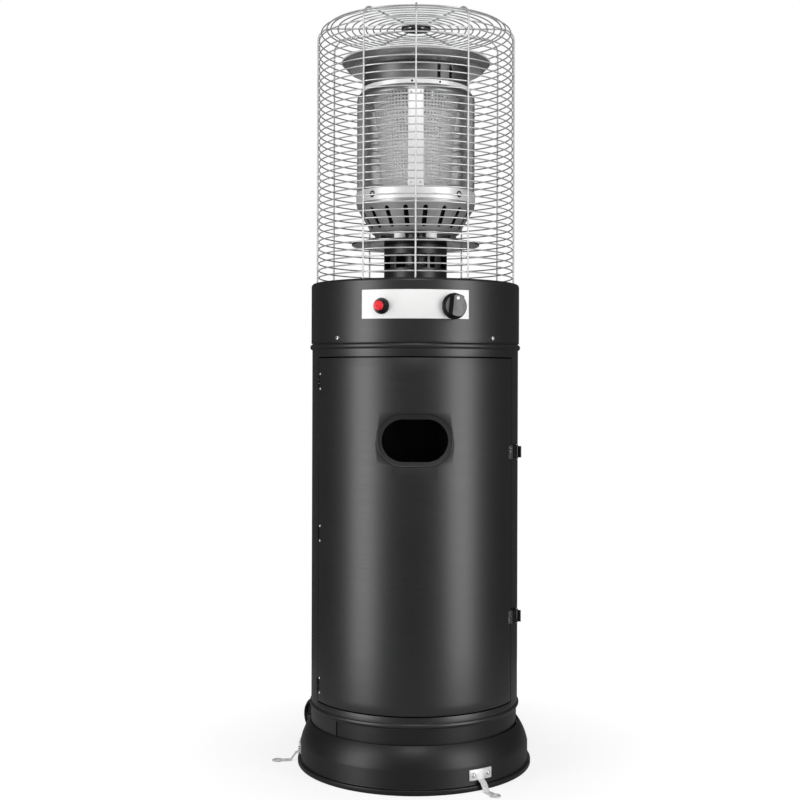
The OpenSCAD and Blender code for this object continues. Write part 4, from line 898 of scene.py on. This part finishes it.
# The exhaust neck takes the darker grey that is painted shade under the reflector.
fit(exhaust, "heater", "stainless", shaded_exhaust_steel, "exhaust_neck")

outline = [(0.0, 1299.5), (124.5, 1299.5), (126.0, 1299.9), (139.6, 1313.6)] + arc(139.4, 1315.3, 1.2, -50, 90, 6)
outline += [(138.0, 1315.2), (125.2, 1301.1), (124.0, 1300.7), (0.0, 1300.7)]
reflector = turned("reflector_dished", outline)
fit(reflector, "heater", "stainless", reflector_metal, "top_reflector")
# Painted highlight: the rolled rim takes bright polished steel instead of the reflector's own finish, for the
# light line along its edge.
reflector_rim_highlight = turned("reflector_rim_highlight", arc(139.4, 1315.0, 1.5, 0, 330, 11))
fit(reflector_rim_highlight, "heater", "bright_steel", polished_and_highlight_steel)

# %% [markdown]
# ## Wire guard
# The guard is a cage of welded wire. Rings are tori, one modelled and copied up the side at an even pitch, and the
# uprights are circles extruded upwards, spun round the shoulder and extruded on to the hub. A small bead at each
# crossing on the side stands for the weld.

# %% Rings
RING_WIRE, UPRIGHT_WIRE = 1.25, 1.6
SIDE_AT, FOOT_Z, FIRST_Z, RING_PITCH, SIDE_RINGS = 182.45, 883.7, 895.0, 13.5, 35
UPRIGHT_AT, UPRIGHT_Z0, UPRIGHT_END, BEND, BEND_Z, FLAT_AT = 185.4, 882.2, 28.1, 23.0, 1358.4, 162.4
TOP_AT, TOP_PITCH, TOP_RINGS, TOP_DROP, BEND_RING = 41.3, 13.3, 10, 2.95, 20.05


def wire_ring(name, radius, wire, height, around=128):
    deselect()
    bpy.ops.mesh.primitive_torus_add(location=(0, 0, height * MM), major_radius=radius * MM,
                                     minor_radius=wire * MM, major_segments=around, minor_segments=8)
    bpy.context.object.name = name
    return settled()


rings = [wire_ring("foot_ring", SIDE_AT, UPRIGHT_WIRE, FOOT_Z)]
side_ring = wire_ring("side_ring", SIDE_AT, RING_WIRE, FIRST_Z)
rings.append(copies("side_rings", side_ring,
                    [Matrix.Translation((0, 0, i * RING_PITCH * MM)) for i in range(SIDE_RINGS)]))
side_rings = smooth(joined("guard_rings_side", rings), 60)
fit(side_rings, "heater", "chrome_plate", wire_metal, "guard_side_rings")

top_z = BEND_Z + BEND - TOP_DROP
rings = [wire_ring("top_ring", TOP_AT + TOP_PITCH * i, RING_WIRE, top_z, 96) for i in range(TOP_RINGS)]
for turn in (36.0, 72.0):
    rings.append(wire_ring("bend_ring", FLAT_AT + BEND_RING * math.cos(math.radians(turn)), RING_WIRE,
                           BEND_Z + BEND_RING * math.sin(math.radians(turn))))
top_rings = smooth(joined("guard_rings_top", rings), 60)
fit(top_rings, "heater", "chrome_plate", wire_metal, "guard_top_rings")

# %% Uprights
upright_turns = [Matrix.Rotation(math.radians(g * 120.0 + s * 30.0), 4, "Z") for g in range(3) for s in (-1, 0, 1)]
deselect()
bpy.ops.mesh.primitive_circle_add(vertices=10, radius=UPRIGHT_WIRE * MM,
                                  location=(0, -UPRIGHT_AT * MM, UPRIGHT_Z0 * MM))
wire = settled()
open_mesh(wire)
bpy.ops.mesh.extrude_region_move(TRANSFORM_OT_translate={"value": (0, 0, (BEND_Z - UPRIGHT_Z0) * MM)})
bpy.ops.mesh.spin(steps=12, angle=math.radians(90), center=(0, -FLAT_AT * MM, BEND_Z * MM), axis=(1, 0, 0))
bpy.ops.mesh.extrude_region_move(TRANSFORM_OT_translate={"value": (0, (FLAT_AT - UPRIGHT_END) * MM, 0)})
clean()
bpy.ops.object.mode_set(mode="OBJECT")
uprights = copies("guard_wires_upright", wire, upright_turns)
smooth(uprights, 60)
fit(uprights, "heater", "chrome_plate", wire_metal, "guard_uprights")

deselect()
bpy.ops.mesh.primitive_ico_sphere_add(subdivisions=1, radius=1.5 * MM)
weld = settled()
weld_heights = [FOOT_Z] + [FIRST_Z + RING_PITCH * i for i in range(SIDE_RINGS)]
column = copies("weld_column", weld, [Matrix.Translation(at(0.0, SIDE_AT + 1.4, z)) for z in weld_heights])
welds = copies("guard_welds", column, upright_turns)
fit(smooth(welds, 80), "heater", "chrome_plate", wire_metal)
fit_softened("guard_hub", 0.5, "heater", "black_plastic", black_plastic)
fit_softened("guard_clips", 0.2, "heater", "zinc_steel", zinc)

# %% [markdown]
# ## Ground brackets, screws and wheels
# Three plated brackets bolt the heater to the ground, and a pair of wheels waits behind the base. A pan-head
# screw is turned, its cross recess is cut with two bars, and copies stand wherever the heater is screwed.

# %% Brackets and screws
fit_softened("ground_brackets", 0.5, "heater", "chrome_plate", bracket_metal)


def pan_screw(head_r, head_h):
    """A pan head with a cross recess, on the plane z = 0."""
    head = turned("pan_head", [
        (0.0, head_h), (head_r * 0.45, head_h * 0.97), (head_r * 0.75, head_h * 0.84),
        (head_r * 0.93, head_h * 0.6), (head_r, head_h * 0.3), (head_r, 0.0), (0.0, 0.0)], steps=28)
    for turn in (20, 110):
        deselect()
        bpy.ops.mesh.primitive_cube_add(size=MM, location=(0, 0, head_h * MM), rotation=(0, 0, math.radians(turn)),
                                        scale=(head_r * 1.15, head_r * 0.26, head_h * 0.9))
        cut(head, bpy.context.object)
    return smooth(head)


def screws(name, head_r, head_h, azimuths, radius, height, slot, finish, replaced):
    piece = copies(name, pan_screw(head_r, head_h), [outward(a, radius, height) for a in azimuths])
    return fit(piece, "heater", slot, finish, replaced)


QUARTERS = (45.0, 135.0, 225.0, 315.0)
BRACKETS = [33.0 + 120.0 * i for i in range(3)]
screws("housing_screw_heads", 4.5, 2.8, QUARTERS, 195.9, 791.5, "zinc_steel", zinc, "housing_screws")
screws("band_screw_heads", 4.2, 2.4, QUARTERS, 112.45, 1057.5, "zinc_steel", zinc, "band_screws")
washer = turned("washer", [(3.4, 0.0), (6.2, 0.0), (6.2, 0.5), (5.9, 0.8), (4.6, 0.8), (3.4, 0.3)], steps=32)
washers = copies("band_washers", washer, [outward(a, 112.4, 1057.5) for a in QUARTERS])
fit(washers, "heater", "black_plastic", black_plastic)
screws("bracket_screw_heads", 3.8, 2.6, sides(BRACKETS, 4.0255), 215.75, 27.75, "chrome_plate", chrome,
       "bracket_screws")
screws("collar_screw_heads", 2.6, 1.6, (44.0, 134.0, 224.0), 192.35, 94.04, "black_plastic", black_plastic,
       "collar_screws")

# %% Wheels
AXLE_A, AXLE_R, AXLE_Z, WHEEL_SIDE = -143.0, 246.8, 39.0, 60.0
RIBS, RIB_AT, RIB_SIZE = 6, 19.0, (19.0, 3.0, 17.0)
wheel = turned("wheel", [
    (4.1, -11.0), (10.0, -11.0), (10.0, -3.5), (28.0, -3.5), (28.0, -11.0), (31.0, -11.0), (35.0, -7.0),
    (35.0, -2.2), (34.2, -1.6), (34.2, 1.6), (35.0, 2.2), (35.0, 7.0), (31.0, 11.0), (28.0, 11.0), (28.0, 3.5),
    (10.0, 3.5), (10.0, 11.0), (4.1, 11.0)], steps=72)
round_edges(wheel, 0.5)
ribs = []
for i in range(RIBS):
    turn = math.radians(360 / RIBS * i)
    deselect()
    bpy.ops.mesh.primitive_cube_add(size=MM, rotation=(0, 0, turn), scale=RIB_SIZE, location=(
        RIB_AT * MM * math.cos(turn), RIB_AT * MM * math.sin(turn), 0))
    ribs.append(round_edges(settled(), 0.5))
wheel = joined("wheel", [wheel] + ribs)
axle_frame = outward(AXLE_A, AXLE_R, AXLE_Z)
on_axle = Matrix.Rotation(math.radians(90), 4, "Y")
for name, body, side in (("wheel_left", "left_wheel", 1), ("wheel_right", "right_wheel", -1)):
    only(wheel)
    bpy.ops.object.duplicate(linked=False)
    one = bpy.context.object
    one.name = one.data.name = name + "_moulded"
    place(one, axle_frame @ Matrix.Translation((side * WHEEL_SIDE * MM, 0, 0)) @ on_axle)
    fit(one, body, "wheel_plastic", wheel_plastic, name)
bpy.data.objects.remove(wheel, do_unlink=True)
fit_softened("axle_caps", 0.3, "heater", "black_plastic", black_plastic)

# %% [markdown]
# ## Hidden pieces
# The gas valve, the pipes, the pilot and the burner head sit inside, where they show only through slots and when
# the door stands open. Their solids are kept as they are and only get a finish.

# %% Finishes of the kept solids
kept = {
    "bottle_tray wheel_bracket burner_deck": black_paint,
    "igniter_nut igniter_body tilt_switch": black_plastic,
    "hinge_leaves_drum hinge_leaves_door": black_zinc,
    "wheel_axle hinge_pins latch_pins valve_stem gas_valve pilot_gas_pipe pilot_burner": zinc,
    "burner_venturi": stainless,
    "burner_head": soot_and_shade_steel,
    "valve_plunger gas_inlet_nipple main_gas_pipe thermocouple burner_jet": brass,
    "ignition_electrode": ceramic,
}
for names, finish in kept.items():
    for name in names.split():
        for index in range(len(nodes[name].data.materials)):
            nodes[name].data.materials[index] = finish
print("kept solids finished")

# %% [markdown]
# ## Floor and light
# The heater stands on a white sweep. Two tall soft boxes draw the two upright highlights on the black drum, a soft
# light from above opens the top, and a fill lifts the front. The camera sees a white room, while bright metal
# mirrors a darker one, which keeps its tones apart.

# %% Floor
deselect()
bpy.ops.mesh.primitive_circle_add(vertices=128, radius=0.9, fill_type="NGON")
floor = settled()
floor.name = "floor"
sweep, tree, shader = new_finish("white_sweep")
tree.links.new(tint(tree, grain(tree, 60.0), grey(0.24), grey(0.26)), shader.inputs["Base Color"])
shader.inputs["Roughness"].default_value = 0.9
shader.inputs["Specular IOR Level"].default_value = 0.0
shader.inputs["Emission Color"].default_value = (1.0, 1.0, 1.0, 1.0)
rays = node(tree, "ShaderNodeLightPath").outputs
mirrored = reckon(tree, "MULTIPLY", rays["Is Glossy Ray"], 0.15)
seen = reckon(tree, "MAXIMUM", rays["Is Camera Ray"], mirrored)
seen = reckon(tree, "MAXIMUM", seen, rays["Is Transmission Ray"])
fade = spread(tree, axis_distance(tree)[0], 0.78, 1.0, 0.25, 0.85)
tree.links.new(reckon(tree, "MULTIPLY", seen, fade), shader.inputs["Emission Strength"])
floor.data.materials.append(sweep)
print("floor set")

# %% Lights and world
AIM = Vector((0.0, 0.0, 0.7))


def soft_box(name, azimuth, distance, height, width, tall, power):
    bpy.ops.object.light_add(type="AREA", location=at(azimuth, distance, height))
    lamp = bpy.context.object
    lamp.name = name
    lamp.data.shape = "RECTANGLE"
    lamp.data.size, lamp.data.size_y, lamp.data.energy = width, tall, power
    lamp.rotation_euler = (AIM - lamp.location).to_track_quat("-Z", "Y").to_euler()
    return lamp


soft_box("soft_box_left", -55.0, 2600.0, 750.0, 1.2, 2.7, 43.0)
soft_box("soft_box_right", 50.0, 2600.0, 750.0, 1.2, 2.7, 43.0)
soft_box("soft_top", 0.0, 2100.0, 2450.0, 1.1, 0.8, 15.0)
fill = soft_box("soft_fill", 0.0, 3000.0, 1000.0, 1.6, 1.6, 10.0)
fill.visible_glossy = False

world = bpy.data.worlds.new("white_studio")
bpy.context.scene.world = world
world.use_nodes = True
tree = world.node_tree
backdrop = tree.nodes["Background"]
backdrop.inputs["Color"].default_value = (1.0, 1.0, 1.0, 1.0)
way = node(tree, "ShaderNodeTexCoord").outputs["Generated"]
parts = node(tree, "ShaderNodeSeparateXYZ", {"Vector": way}).outputs
front = reckon(tree, "MULTIPLY", parts["Y"], -1.0)
angle = reckon(tree, "ARCTAN2", reckon(tree, "ABSOLUTE", parts["X"]), front)
tones = ((0.0, 0.10), (0.15, 0.12), (0.34, 0.20), (0.55, 0.085), (0.96, 0.085), (0.992, 1.0))
room = ramped(tree, reckon(tree, "DIVIDE", angle, math.pi), [(where, grey(tone)) for where, tone in tones])
rays = node(tree, "ShaderNodeLightPath").outputs
unlit = spread(tree, rays["Is Glossy Ray"], 0.3, 0.0, 0.0, 1.0)
glossy = reckon(tree, "MULTIPLY", rays["Is Glossy Ray"], room)
plain = reckon(tree, "MAXIMUM", rays["Is Camera Ray"], rays["Is Transmission Ray"])
level = reckon(tree, "MAXIMUM", reckon(tree, "ADD", unlit, glossy), plain)
tree.links.new(level, backdrop.inputs["Strength"])
bpy.context.scene.view_settings.view_transform = "Standard"
print("lights set")
